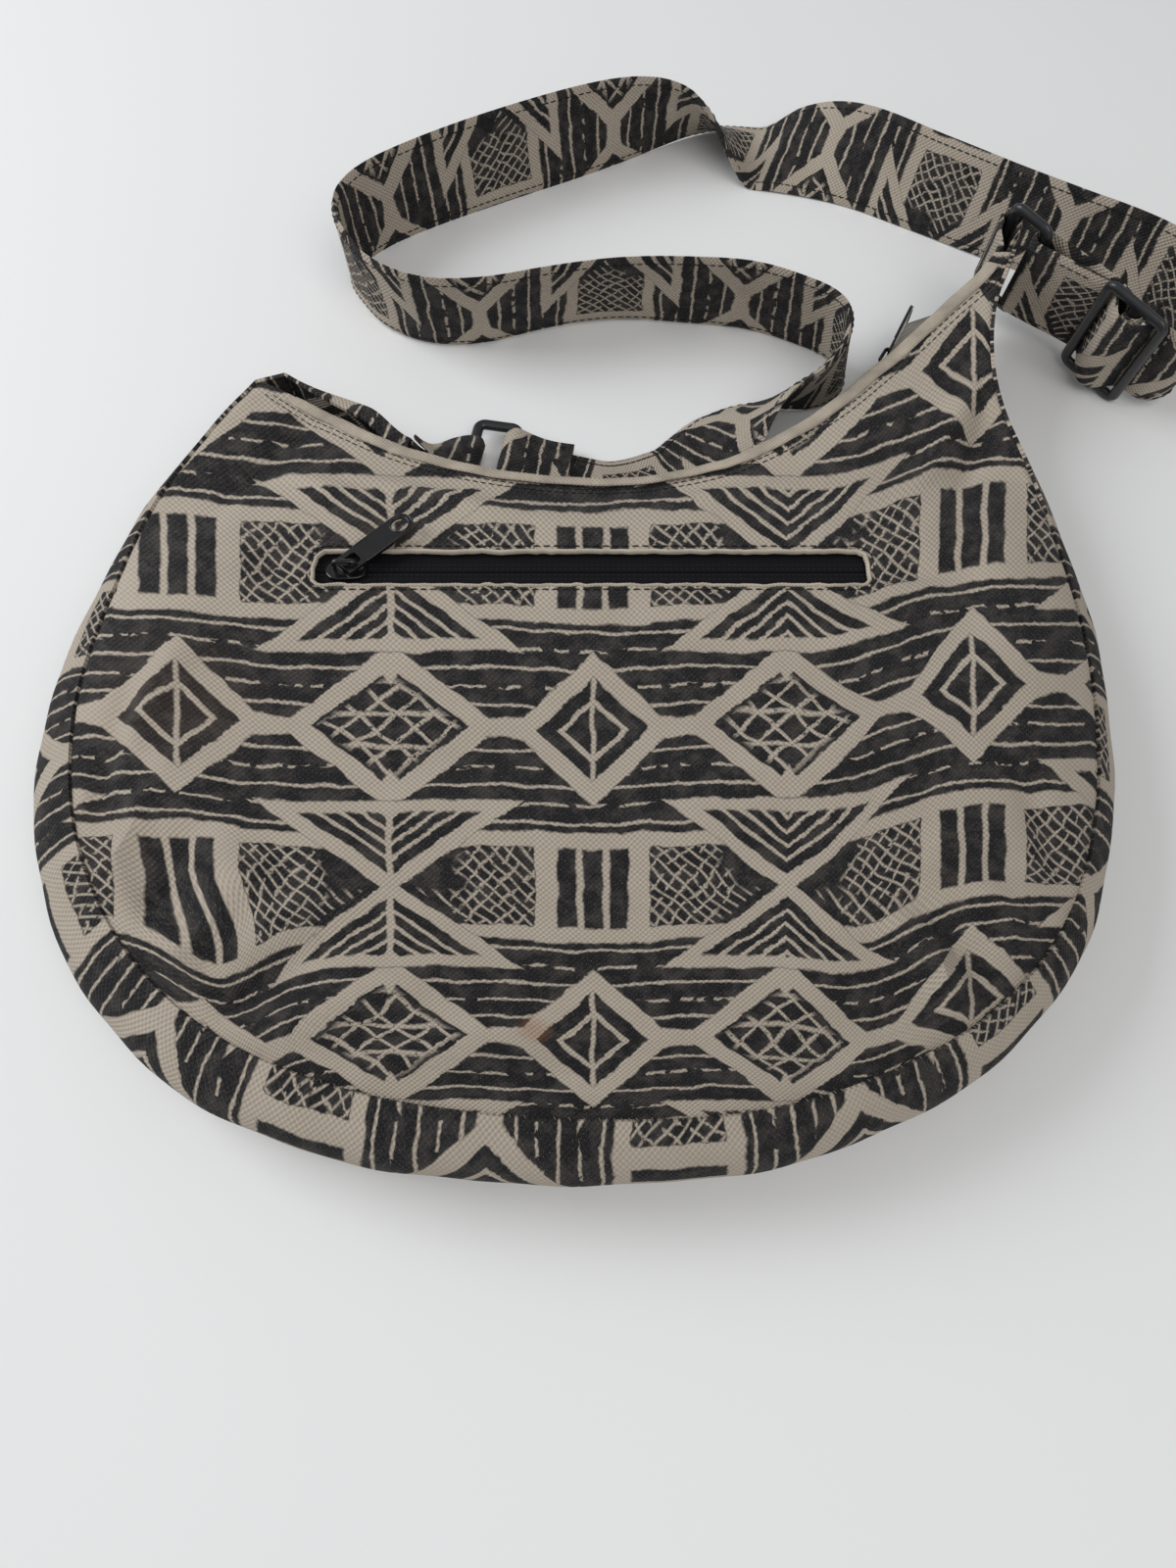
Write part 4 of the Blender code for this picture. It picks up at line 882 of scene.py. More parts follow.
def front_uv(points):
    """Repeats of the print across and down, so that its rows land as in the photo."""
    x, y = photo_position(points)
    for middle, width, top, fall, across, down in SAGS:
        sag = np.exp(-((x - middle) / width) ** 2) * smooth_step((y - top) / fall)
        x, y = x + across * sag * smooth_step((x - SAG_EDGE) / 60), y - down * sag
    away = x - PRINT_MIDDLE
    across = 0.0024727 * away + 2.695e-7 * away * away
    y = y + sum(drop * smooth_step((x - begin) / run) for drop, begin, run in DROPS)
    y = y - 5 * smooth_step(1 - np.abs(away) / 120)
    down = np.interp(y, PRINT_ROWS, np.arange(-2.5, 3.0, 0.5))
    return np.stack([across, down], -1)


# Soft pieces

def ripple(points, seeds):
    """Smooth wrinkles: each seed is (x, y, direction in degrees, length, width, height) in mm."""
    total = np.zeros(points.shape[:-1])
    for x, y, turn, length, width, height in seeds:
        a = math.radians(turn)
        dx, dy = points[..., 0] / MM - x, points[..., 1] / MM - y
        along = dx * math.cos(a) + dy * math.sin(a)
        across = -dx * math.sin(a) + dy * math.cos(a)
        total += height * np.exp(-(along / length) ** 2 - (across / width) ** 2)
    return total * MM


FOLDS = [
    (-119, -50, -52, 36, 8, -2.6), (-98, -42, -48, 34, 8, 1.4), (-134, -34, 62, 22, 5, 2.2),
    (-122, -48, 55, 26, 5, -2.0), (-110, -62, 42, 26, 5, 2.4),
    (-92, -76, 30, 30, 5, -2.8), (-74, -84, 20, 26, 5, 2.2), (-143, -10, 78, 28, 5, -2.2),
    (-132, 8, 70, 24, 6, 1.8), (-95, -52, 48, 20, 7, -1.6), (-40, -92, 10, 30, 4, 1.4),
    (-10, -99, 3, 26, 4, -1.5), (34, -99, -4, 26, 4, 1.3), (66, -93, -18, 24, 4, -1.4),
    (98, -76, -52, 14, 3.2, 3.6), (106, -70, -50, 18, 4, -3.2), (92, -64, -24, 22, 5, 2.0),
    (118, -60, -54, 20, 5, 2.0), (133, -34, -68, 26, 5, -1.6), (0, -30, 3, 90, 16, 0.9),
    (-60, 20, -12, 60, 13, -1.1), (70, -10, 14, 60, 14, 1.0), (120, 60, 80, 40, 8, -1.2),
    (138, 122, 66, 34, 5, -2.0), (128, 128, 60, 30, 5, 1.6), (150, 165, 72, 26, 3.5, -1.4),
    (112, 104, 30, 24, 4, 1.3), (-112, 112, 60, 32, 6, -1.4), (-95, 104, -32, 28, 5, 1.3),
    (-60, 100, -20, 40, 4, 1.0), (40, 98, 12, 46, 4, 0.9), (-100, 60, 5, 12, 5, -1.6),
    (102, 60, -5, 14, 5, -1.6), (-40, -10, 22, 50, 7, -0.8), (40, 30, -16, 50, 7, -0.8),
]


def front_points(rows, columns):
    middle, up, outward, half, _ = seam(columns)
    end = middle + up * half[:, None] - outward * 0.5 * MM
    start = mouth(columns)
    v = np.linspace(0, 1, rows)[:, None] * np.ones((1, columns))
    v = v ** 0.92
    shape = (rows, columns, 3)
    return front_at(v, np.broadcast_to(start, shape).copy(), np.broadcast_to(end, shape).copy()), v


def front_surface(rows):
    """Outer face of the front panel with its folds, and its pattern coordinates."""
    grid, v = front_points(rows, FINE)
    uv = front_uv(grid)
    lift = ripple(grid, FOLDS) * 1.75
    off_slot = np.maximum(np.abs(grid[..., 0] - SLOT_X) - 92 * MM, np.abs(grid[..., 1] - SLOT_Y) - 10 * MM)
    lift = lift * smooth_step(off_slot / (10 * MM))
    span = np.linalg.norm((grid[-1] - grid[0])[:, :2], axis=1)[None]
    from_seam, from_mouth = (1 - v) * span, v * span
    lift = lift * np.clip(from_seam / (12 * MM), 0, 1) * np.clip(from_mouth / (8 * MM), 0, 1)
    pucker = np.sin(np.linspace(0, 1, FINE) * 420)[None] * 0.25 * MM
    grid[..., 2] += lift + pucker * np.exp(-((from_seam / MM - 5) / 5) ** 2)
    grid[..., 2] -= 1.5 * MM * (1 - np.clip(from_seam / (7 * MM), 0, 1)) ** 2
    return grid, uv


def front_shell(look):
    grid, uv = front_surface(84)
    normals = grid_normals(grid, (0, 0, 1))
    inner = grid - normals * 1.4 * MM
    piece = sheet_piece("front_shell", grid, inner, uv, look)
    outline = rounded_outline(SLOT_LENGTH, SLOT_HEIGHT, 4 * MM)
    boolean(piece, prism("slot_cutter", outline, -9 * MM, 9 * MM, look, slot_matrix()), "DIFFERENCE")
    return piece


def mouth_binding(look):
    """Turned edge sewn along the front of the mouth."""
    rows = 60
    grid, _ = front_points(rows, FINE)
    start, ahead = grid[0], unit(grid[4] - grid[0])
    normals = grid_normals(grid, (0, 0, 1))[1]
    wave = np.sin(np.arange(FINE) * 0.55) * 0.15 + np.sin(np.arange(FINE) * 0.21 + 1) * 0.2
    frames = []
    for k in range(6, FINE - 2):
        middle = start[k] + ahead[k] * (1.9 + wave[k]) * MM + normals[k] * 0.15 * MM
        frames.append((middle, ahead[k], normals[k]))
    section = [(2.5, 0.05), (2.2, 0.5), (1.2, 0.72), (-0.6, 0.8), (-1.9, 0.6), (-2.5, 0.0), (-2.4, -1.2),
               (-1.6, -1.5), (0.2, -1.1), (2.2, -0.5)]
    section = [(a * MM, b * MM) for a, b in section]
    return swept("mouth_edge", frames, section, look, uv=(0.235, 0.1))


def gusset_line(middle, up, outward, half, bulge, lip, w):
    reach = bulge * (1 - np.abs(w) ** 2.2)
    share = min(1.0, lip / BAND_LIP)
    turned = -lip * np.clip((np.abs(w) - 0.86) / 0.14, 0, 1) ** 1.2
    side = unit(outward - up * np.dot(outward, up))
    rise = w * half
    if share > 0:
        rise = np.clip(w / 0.86, -1, 1) * half * share + rise * (1 - share)
    return middle + (reach * (1 - share) + turned)[:, None] * side + rise[:, None] * up


def gusset_shell(look):
    rows, band_count = 29, 34
    w = np.linspace(1, -1, rows)
    band = smooth_curve(body_xy(LEFT_BAND_XY), band_count)
    headings = unit(np.gradient(band, axis=0))
    outs = [np.array([h[1], -h[0], 0.0]) for h in headings]
    lines = []
    for k, (x, y) in enumerate(band):
        tilt = smooth_step(1 - k / (band_count / 3.0))
        up = unit(np.array([0, 0, 1.0]) * (1 - tilt) + np.array(BAND_UP) * tilt)
        half = (BAND_TOP - BAND_FOOT) / 2
        lip = BAND_LIP * float(smooth_step(1.15 - k / (band_count - 2)))
        lines.append(gusset_line(np.array([x, y, BAND_FOOT + half]), up, outs[k], half, 1.5 * MM, lip, w))
    middle, up, outward, half, share = seam(FINE)
    bulge = along_table(BULGE, share)
    for k in range(FINE):
        lines.append(gusset_line(middle[k], up[k], outward[k], half[k] - 0.3 * MM, bulge[k], 0.0, w))
    outer = np.array(lines).transpose(1, 0, 2)
    outs = np.vstack([np.array(outs), outward])
    along = travelled(outer[rows // 2])
    wave = (np.sin(along / MM / 9.0) * 0.5 + np.sin(along / MM / 4.1 + 1.0) * 0.28) * 0.55 * MM
    outer += outs[None] * wave[None, :, None] * (1 - np.abs(w) ** 4)[:, None, None]
    outer[..., 2] = np.maximum(outer[..., 2], 0.25 * MM)
    away = np.concatenate([[0], np.cumsum(np.linalg.norm(np.diff(outer, axis=0), axis=2).mean(axis=1))])
    below = np.nonzero(outer[rows // 2, :, 1] < -60 * MM)[0]
    mark = below[np.argmin(np.abs(outer[rows // 2, below, 0] - 24 * MM))]
    down = (along - along[mark]) / REPEAT[1] + 0.5
    uv = np.stack([np.broadcast_to((0.195 - away / REPEAT[0])[:, None], outer.shape[:2]),
                   np.broadcast_to(down, outer.shape[:2])], -1)
    inner = outer - grid_normals(outer, outs[None]) * 1.3 * MM
    return sheet_piece("gusset_shell", outer, inner, uv, look)


def back_shell(look):
    middle, up, outward, half, _ = seam(FINE)
    end = middle - up * half[:, None] - outward * 0.8 * MM
    foot = end[:, 2].copy()
    end[:, 2] = 0
    start = np.column_stack([back_mouth(FINE), np.zeros(FINE)])
    v = np.linspace(0, 1, 40)[:, None]
    span = np.linalg.norm(end - start, axis=1)[None]
    grid = start[None] * (1 - v[..., None]) + end[None] * v[..., None]
    near = np.minimum((1 - v) * span, v * span)
    grid[..., 2] = foot[None] * (1 - np.clip(near / BACK_MARGIN, 0, 1)) ** 2
    uv = np.stack([grid[..., 0] / REPEAT[0] + 0.3, -grid[..., 1] / REPEAT[1]], -1)
    return sheet_piece("back_shell", grid, grid + np.array([0, 0, 1.4 * MM]), uv, look)


def strap_path():
    route = []
    places = np.array(STRAP_ROUTE, float)
    places[:, :2] = body_xy(places[:, :2])
    dense = smooth_curve(places * (1, 1, 0.0001, MM), 74)
    dense[:, 2] /= 0.0001
    heading = unit(np.gradient(dense[:, :2], axis=0))
    for (x, y, lean, lift), (hx, hy) in zip(dense, heading, strict=True):
        a = math.radians(lean)
        side = np.array([-hy * math.sin(a), hx * math.sin(a), math.cos(a)])
        rise = abs(math.cos(a)) * STRAP_WIDTH / 2 + abs(math.sin(a)) * STRAP_THICK / 2
        route.append((np.array([x, y, rise + STRAP_LIFT + lift]), side))
    return left_loop() + route + right_belt()


def strap_phase():
    """Start of the strap's print, so that a hatched cell lies where the photo shows one."""
    path = strap_path()
    points = np.array([p for p, _ in path])
    x, y = photo_position(points)
    nearest = np.argmin(np.hypot(x - STRAP_CELL[0], y - STRAP_CELL[1]))
    return 0.5 - travelled(points)[nearest] / REPEAT[1]


def finer(points, sides, times=4):
    """More frames between the given ones, along a smooth curve."""
    rows = np.hstack([points, sides])
    ends = np.vstack([2 * rows[0] - rows[1], rows, 2 * rows[-1] - rows[-2]])
    dense = []
    for i in range(1, len(ends) - 2):
        p0, p1, p2, p3 = ends[i - 1 : i + 3]
        pairs = ((p0, p1), (p1, p2), (p2, p3))
        t01, t12, t23 = (max(1e-6, np.linalg.norm((b - a)[:3])) ** 0.5 for a, b in pairs)
        m1 = (p2 - p1) + t12 * ((p1 - p0) / t01 - (p2 - p0) / (t01 + t12))
        m2 = (p2 - p1) + t12 * ((p3 - p2) / t23 - (p3 - p1) / (t12 + t23))
        for s in np.linspace(0, 1, times, endpoint=False):
            dense.append((2 * s**3 - 3 * s**2 + 1) * p1 + (s**3 - 2 * s**2 + s) * m1
                         + (3 * s**2 - 2 * s**3) * p2 + (s**3 - s**2) * m2)
    dense.append(rows[-1])
    dense = np.array(dense)
    return dense[:, :3], unit(dense[:, 3:])


def banded(name, path, width, thick, look, phase):
    points = np.array([p for p, _ in path])
    sides = np.array([s for _, s in path])
    points, sides = finer(points, sides, 3)
    travel = unit(np.gradient(points, axis=0))
    frames = [(p, s, unit(np.cross(t, s))) for p, s, t in zip(points, sides, travel, strict=True)]
    return swept(name, frames, webbing_section(width, thick), look, uv=phase), frames


def tab_path(start, start_up, bar, bar_up):
    start, bar = np.array(start), np.array(bar)
    radius = BAR / 2 + LOOP_SLACK + TAB_THICK / 2
    travel = bar - start
    out, back = [], []
    for s in np.linspace(0, 1, 9):
        point = start + travel * s
        side = unit(np.array(start_up) * (1 - s) + np.array(bar_up) * s)
        n = unit(np.cross(side, travel))
        gap = (TAB_THICK / 2 + GAP) * (1 - smooth_step(s * 1.6)) + radius * smooth_step(s * 1.6)
        out.append((point + n * gap, side))
        back.append((point - n * gap, side))
    side = unit(np.array(bar_up))
    n = unit(np.cross(side, travel))
    ahead = unit(np.cross(n, side))
    turn = [(bar + (n * math.cos(a) + ahead * math.sin(a)) * radius, side)
            for a in np.linspace(0, math.pi, 14)[1:-1]]
    return out + turn + back[::-1]


def stitch_row(name, spots, look, length=1.5 * MM, thick=0.34 * MM):
    """Short raised threads. Each spot is (middle, direction, up)."""
    verts, faces = [], []
    ring = round_section(2, 6)
    for middle, direction, up in spots:
        d, u = unit(direction), unit(up)
        s = unit(np.cross(d, u))
        base = len(verts)
        for t, size in ((-0.5, 0.25), (-0.38, 0.9), (0.0, 1.15), (0.38, 0.9), (0.5, 0.25)):
            arch = thick * 0.35 * (1 - (2 * t) ** 2)
            for a, b in ring:
                verts.append(middle + d * (t * length) + u * arch + (s * a + u * b) * thick / 2 * size)
        faces += [tuple(base + c for c in f) for f in tube_faces(5, 6)]
    return make_piece(name, verts, faces, look)


# Zips

def coil_strip(name, places, side, look):
    """Teeth of one coil half: rounded loops across the edge of its tape."""
    verts, faces = [], []
    z = COIL_TOP - COIL_HEIGHT / 2
    for place in places:
        turn = place.to_3x3()
        along = turn @ Vector((1, 0, 0))
        out = turn @ Vector((0, 0, 1))
        base = len(verts)
        for t, size in ((-0.06, 0.5), (0.08, 0.95), (0.5, 1.0), (0.85, 0.95), (1.0, 0.5)):
            y = side * (TAPE_EDGE + t * (COIL_WIDTH + 0.5 * MM))
            middle = place @ Vector((0, y, z))
            for c, s in round_section(2, 8):
                verts.append(middle + along * (c * TOOTH * 0.40 * size) + out * (s * COIL_HEIGHT / 2 * size))
        faces += [tuple(base + c for c in f) for f in tube_faces(5, 8)]
    return make_piece(name, verts, faces, look)


def slot_places(x0, x1, step, shift=0.0):
    base = slot_matrix()
    return [base @ Matrix.Translation((x, 0, 0)) for x in np.arange(x0 + shift, x1, step)]


def arc_places(a0, a1, step, shift=0.0):
    turn = math.degrees(step / MOUTH_RADIUS)
    return [mouth_matrix(a) for a in np.arange(a0 + shift * turn / step, a1, turn)]


def tape_piece(name, outline_edges, top, bottom, places, look):
    y0, y1 = outline_edges
    middle = (0, (y0 + y1) / 2, (top + bottom) / 2)
    frames = [on_place(place, middle, (0, 1, 0)) for place in places]
    w, t = (y1 - y0) / 2, (top - bottom) / 2
    rib = [(w * 0.6, t), (w * 0.5, t + 0.12 * MM), (w * 0.4, t)]
    section = [(-w, -t), (w, -t), (w, t), *rib, (0, t), (-w * 0.5, t), (-w, t)]
    return swept(name, frames, section, look)


def slider_piece(name, place, look):
    half, wide = SLIDER_LENGTH / 2, SLIDER_WIDTH / 2
    shares = [(1, 0.5), (0.92, 0.68), (0.7, 0.86), (0.2, 0.96), (-0.35, 1), (-0.7, 0.86), (-0.9, 0.55),
              (-1, 0.2)]
    outline = [(half * a, wide * b) for a, b in shares]
    outline = outline + [(x, -y) for x, y in reversed(outline)]
    top = TAPE_TOP + GAP
    bottom = COIL_TOP - COIL_HEIGHT - GAP
    base = top + SLIDER_PLATE
    plates = ((name, top, base), (f"{name}_under", bottom - SLIDER_PLATE, bottom))
    parts = [settle(prism(part, outline, low, high, look, place, 0.38 * MM)) for part, low, high in plates]
    lip = [(half * a, wide * b) for a, b in ((0.25, 0.98), (-0.55, 0.96), (-0.55, 0.8), (0.25, 0.82))]
    for s in (1, -1):
        edge = [(x, y * s) for x, y in (lip if s > 0 else reversed(lip))]
        parts.append(settle(prism(f"{name}_lip", edge, top - 0.1 * MM, top + 0.05 * MM, look, place)))
    x = BAIL_SPAN / 2 - BAIL_WIRE / 2
    z = base + BAIL_HEIGHT - BAIL_WIRE / 2
    bend = 1.2 * MM
    path = [(-x - 0.1 * MM, base - 0.5 * MM), (-x, base + 1.0 * MM), (-x, z - bend)]
    for a in np.radians((22, 45, 68, 90)):
        path.append((bend - x - bend * math.cos(a), z - bend + bend * math.sin(a)))
    path = path + [(-px, pz) for px, pz in reversed(path)]
    frames = []
    for k, (px, pz) in enumerate(path):
        d = heading(path, k, closed=False)
        frames.append(on_place(place, (px, 0, pz), (0, 1, 0), (-d.y, 0, d.x)))
    wire = [(a * 1.25, b) for a, b in round_section(BAIL_WIRE, 12)]
    parts.append(swept(f"{name}_bail", frames, wire, look))
    return joined(name, parts)


def pull_piece(name, place, yaw, lift, look):
    axis_height = TAPE_TOP + GAP + SLIDER_PLATE + 1.35 * MM
    turn = Matrix.Rotation(math.radians(yaw), 4, "Z") @ Matrix.Rotation(-math.radians(lift), 4, "Y")
    own = place @ Matrix.Translation((0, 0, axis_height)) @ turn
    wide = PULL_WIDTH / 2
    half = PULL_THICK / 2
    neck = wide * 0.96
    middle = PULL_LENGTH - wide
    edge = [(-0.7 * MM, neck - 0.6 * MM), (-0.2 * MM, neck), (6.4 * MM, neck), (8.2 * MM, wide)]
    tip = [(middle + wide * math.cos(a), wide * math.sin(a)) for a in np.radians(range(-90, 91, 12))]
    outline = [(x, -y) for x, y in edge] + tip + edge[::-1]
    tab = prism(name, outline, -half * 0.72, half * 0.72, look, own)
    eye = rounded_outline(4.4 * MM, 2 * (wide * 0.82 - PULL_WALL), 1.0 * MM, 4)
    eye = [(x + 3.2 * MM, y) for x, y in eye]
    hole = [(middle + x, y) for x, y in round_section(PULL_HOLE * 1.16, 24)]
    for cutter, opening in (("eye", eye), ("hole", hole)):
        boolean(tab, prism(cutter, opening, -3 * MM, 3 * MM, look, own), "DIFFERENCE")
    parts = [tab]
    loops = [(hole, 0.7 * MM), ([(x, y * 0.95) for x, y in outline[2:-2]], 0.62 * MM)]
    for k, (ring, size) in enumerate(loops):
        closed = k == 0
        frames = []
        for i, (x, y) in enumerate(ring):
            d = heading(ring, i, closed)
            frames.append(on_place(own, (x, y, half * 0.62), (d.y, -d.x, 0)))
        parts.append(swept(f"{name}_rim{k}", frames, round_section(size, 10), look, closed=closed))
    return joined(name, parts)


def bar_frame(name, middle, u, w, reach, look, bars=()):
    n = unit(np.cross(w, u))
    across = unit(np.cross(n, w))
    long = (STRAP_WIDTH + 2 * BAR_ROOM + BAR) / 2
    frames = []
    for x, y in rounded_outline(2 * reach, 2 * long, 2.6 * MM, 8):
        cx = math.copysign(reach - 2.6 * MM, x)
        cy = math.copysign(long - 2.6 * MM, y)
        out = unit(across * (x - cx) + w * (y - cy))
        frames.append((middle + across * x + w * y, out, n))
    oval = [(a * 1.2, b * 1.02) for a, b in round_section(BAR, 18)]
    ring = swept(name, frames, oval, look, closed=True)
    for x in bars:
        ends = [(middle + across * x + w * y, across, n) for y in np.linspace(-long, long, 6)]
        boolean(ring, swept("bar", ends, oval, look), "UNION")
    return ring


# The whole object

def materials():
    rust = (0.30, 0.13, 0.05)
    brown = (0.20, 0.13, 0.085)
    stains = [(-0.145, 0.97, 0.035, 0.35, rust), (-1.0, -0.05, 0.16, 0.09, brown),
              (-0.52, -0.52, 0.1, 0.10, brown), (-1.2, 0.4, 0.12, 0.05, brown)]
    looks = {
        "front": printed_canvas("printed_front", stains=stains),
        "side": printed_canvas("printed_side"),
        "strap": printed_canvas("printed_strap"),
        "coil": hard_material("zip_coil", (0.008, 0.0075, 0.009), 0.5),
        "metal": hard_material("black_enamel", (0.010, 0.010, 0.011), 0.24, 0.35, coat=0.4),
        "plastic": hard_material("black_plastic", (0.013, 0.014, 0.016), 0.38, 0.0, 700.0, 0.15),
    }
    for key, *cloth in (
        ("edge", "turned_edge", (0.40, 0.35, 0.285), 0.00075, 0.9, 0.9),
        ("lip", "turned_lip", (0.50, 0.44, 0.36), 0.0006, 0.85, 0.6),
        ("facing", "facing_cloth", (0.20, 0.18, 0.155)),
        ("lining", "lining_cloth", (0.030, 0.030, 0.032), 0.0005),
        ("tape", "zip_tape", (0.0065, 0.006, 0.0075), 0.00055, 0.9),
        ("tape_thread", "tape_thread", (0.026, 0.025, 0.028), 0.0003),
        ("seam_thread", "seam_thread", (0.20, 0.18, 0.15), 0.0003),
        ("dark_thread", "dark_thread", (0.02, 0.02, 0.022), 0.0003),
    ):
        looks[key] = plain_cloth(*cloth)
    return looks


def place_soft(looks):
    dress(front_shell(looks["front"]), "bag", "front_panel")
    dress(mouth_binding(looks["edge"]), "bag", "front_panel", instead=False)
    dress(gusset_shell(looks["side"]), "bag", "gusset")
    dress(back_shell(looks["side"]), "bag", "back_panel")
    path = []
    for point, up in strap_path():
        away = min(np.linalg.norm(point - np.array(bar)) for bar in (LEFT_BAR, RIGHT_BAR))
        low = (STRAP_LIFT + TABLE_DROP) * float(smooth_step((away - 55 * MM) / (20 * MM)))
        path.append((point - np.array([0, 0, low]), up))
    phase = (0.25, strap_phase())
    strap, frames = banded("strap_band", path, STRAP_WIDTH, STRAP_THICK, looks["strap"], phase)
    rest_on_table(strap)
    dress(strap, "bag", "strap")
    return frames


def place_tabs(looks):
    middle, up, outward, half, _ = seam()
    inward = outward[-1] * 3.4 * MM
    near = np.array(RIGHT_BAR) - unit(RIGHT_OUT) * (RING_REACH + BAR)
    ahead = unit(near - middle[-1])
    right = tab_path(middle[-1] - inward + ahead * 0.4 * MM, TIP_UP, near, RIGHT_UP)
    near = np.array(LEFT_BAR) - unit(LEFT_OUT) * (RING_REACH + BAR)
    x, y = body_xy(LEFT_BAND_XY)[0]
    band_end = np.array([x, y, (BAND_TOP + BAND_FOOT) / 2])
    left = tab_path(band_end + unit(near - band_end) * 1.2 * MM, BAND_UP, near, LEFT_UP)
    for name, path, width in (("tab_right", right, TAB_WIDTH), ("tab_left", left, LEFT_TAB_WIDTH)):
        piece, _ = banded(f"{name}_band", path, width, TAB_THICK, looks["strap"], (0.25, 0.7))
        dress(piece, "bag", name)


def slot_edge():
    """Points about 1.6 mm apart round the pocket slot."""
    outline = rounded_outline(SLOT_LENGTH - 1.0 * MM, SLOT_HEIGHT - 1.0 * MM, 3.6 * MM, 8)
    dense = []
    for k, (x, y) in enumerate(outline):
        x2, y2 = outline[(k + 1) % len(outline)]
        steps = max(1, int(math.hypot(x2 - x, y2 - y) / (1.6 * MM)))
        dense += [(x + (x2 - x) * t / steps, y + (y2 - y) * t / steps) for t in range(steps)]
    return dense


def place_welt(looks):
    place = slot_matrix()
    dense = slot_edge()
    jitter = np.random.default_rng(4).normal(0, 1, len(dense))
    jitter = (jitter + np.roll(jitter, 1)) * 0.13 * MM
    frames, spots = [], []
    for k, (x, y) in enumerate(dense):
        d = heading(dense, k)
        out = Vector((d.y, -d.x, 0))
        frames.append(on_place(place, Vector((x, y, 0.15 * MM)) + out * jitter[k], out))
        if k % 2 == 0:
            if out.dot(Vector((x, y, 0))) < 0:
                out.negate()
            spots.append(on_place(place, Vector((x, y, 0.05 * MM)) + out * 2.0 * MM, d))
    section = [(0.62, -0.9), (0.66, -0.1), (0.3, 0.3), (-0.1, 0.32), (-0.45, 0.05), (-0.6, -0.6),
               (-0.5, -1.2)]
    section = [(a * MM, b * MM) for a, b in section]
    dress(swept("welt_lip", frames, section, looks["lip"], closed=True), "bag", "pocket_welt")
    rows = stitch_row("slot_stitches", spots, looks["dark_thread"], 2.3 * MM, 0.42 * MM)
    dress(rows, "bag", "pocket_welt", instead=False)


def place_zip(looks, kind, names, side, coil_places, tape_places, tape_width):
    """One half of a zip: its coil and its tape."""
    coil_name, tape_name = names
    coil = coil_strip(coil_name, coil_places, side, looks["coil"])
    edge, wing = (f"{kind}_{part}_{coil_name.rsplit('_', 1)[1]}" for part in ("coil", "tape"))
    dress(coil, "bag", edge)
    edges = sorted((side * TAPE_EDGE, side * (TAPE_SPLIT / 2 + tape_width)))
    dress(tape_piece(tape_name, edges, TAPE_TOP, TAPE_TOP - TAPE, tape_places, looks["tape"]), "bag", wing)


def place_slider(looks, kind, start, yaw, lift):
    dress(slider_piece(f"slider_{kind}", start, looks["metal"]), f"{kind}_slider", f"{kind}_slider")
    dress(pull_piece(f"pull_{kind}", start, yaw, lift, looks["metal"]), f"{kind}_pull", f"{kind}_pull")


def place_pocket(looks):
    place_welt(looks)
    reach = SLOT_LENGTH / 2 + 2 * MM
    for name, side in (("upper", 1), ("lower", -1)):
        teeth = slot_places(-reach, reach, TOOTH, TOOTH_SHIFT * (side > 0))
        tape = slot_places(-reach, reach + 2 * MM, 6 * MM)
        place_zip(looks, "pocket", (f"coil_{name}", f"tape_{name}"), side, teeth, tape, TAPE_WIDTH)
        spots = [on_place(place, (0, side * y * MM, TAPE_TOP + 0.02 * MM), (1, 0, 0))
                 for y in (1.3, 3.1) for place in slot_places(3 * MM - reach, reach - 3 * MM, 1.7 * MM)]
        row = stitch_row(f"tape_stitches_{name}", spots, looks["tape_thread"], 1.2 * MM, 0.3 * MM)
        dress(row, "bag", f"pocket_tape_{name}", instead=False)
    start = slot_matrix() @ Matrix.Translation((POCKET_SLIDER_X, 0, 0))
    place_slider(looks, "pocket", start, PULL_YAW, PULL_LIFT)


def place_mouth(looks):
    for name, side in (("front", 1), ("back", -1)):
        teeth = arc_places(MOUTH_START, MOUTH_END, TOOTH, TOOTH_SHIFT * (side > 0))
        tape = arc_places(MOUTH_START, MOUTH_END, 4 * MM)
        names = (f"mouth_teeth_{name}", f"mouth_band_{name}")
        place_zip(looks, "mouth", names, side, teeth, tape, MOUTH_TAPE_WIDTH)
    start = mouth_matrix(MOUTH_SLIDER_ANGLE) @ Matrix.Rotation(math.pi, 4, "Z")
    place_slider(looks, "mouth", start, 180.0, MOUTH_PULL_LIFT)


def place_hardware(looks):
    pitch = (RING_REACH + BAR) / 2
    for name, bar, u, w, away, reach, bars in (
        ("ring_left", LEFT_BAR, LEFT_OUT, LEFT_UP, -pitch, pitch, ()),
        ("ring_right", RIGHT_BAR, RIGHT_OUT, RIGHT_UP, -pitch, pitch, ()),
        ("adjuster", RIGHT_BAR, RIGHT_OUT, RIGHT_UP, ADJUSTER_DISTANCE, ADJUSTER_PITCH, (0.0,)),
    ):
        u, w = unit(u), unit(w)
        piece = bar_frame(f"{name}_bars", np.array(bar) + u * away, u, w, reach, looks["plastic"], bars)
        dress(piece, name, name)


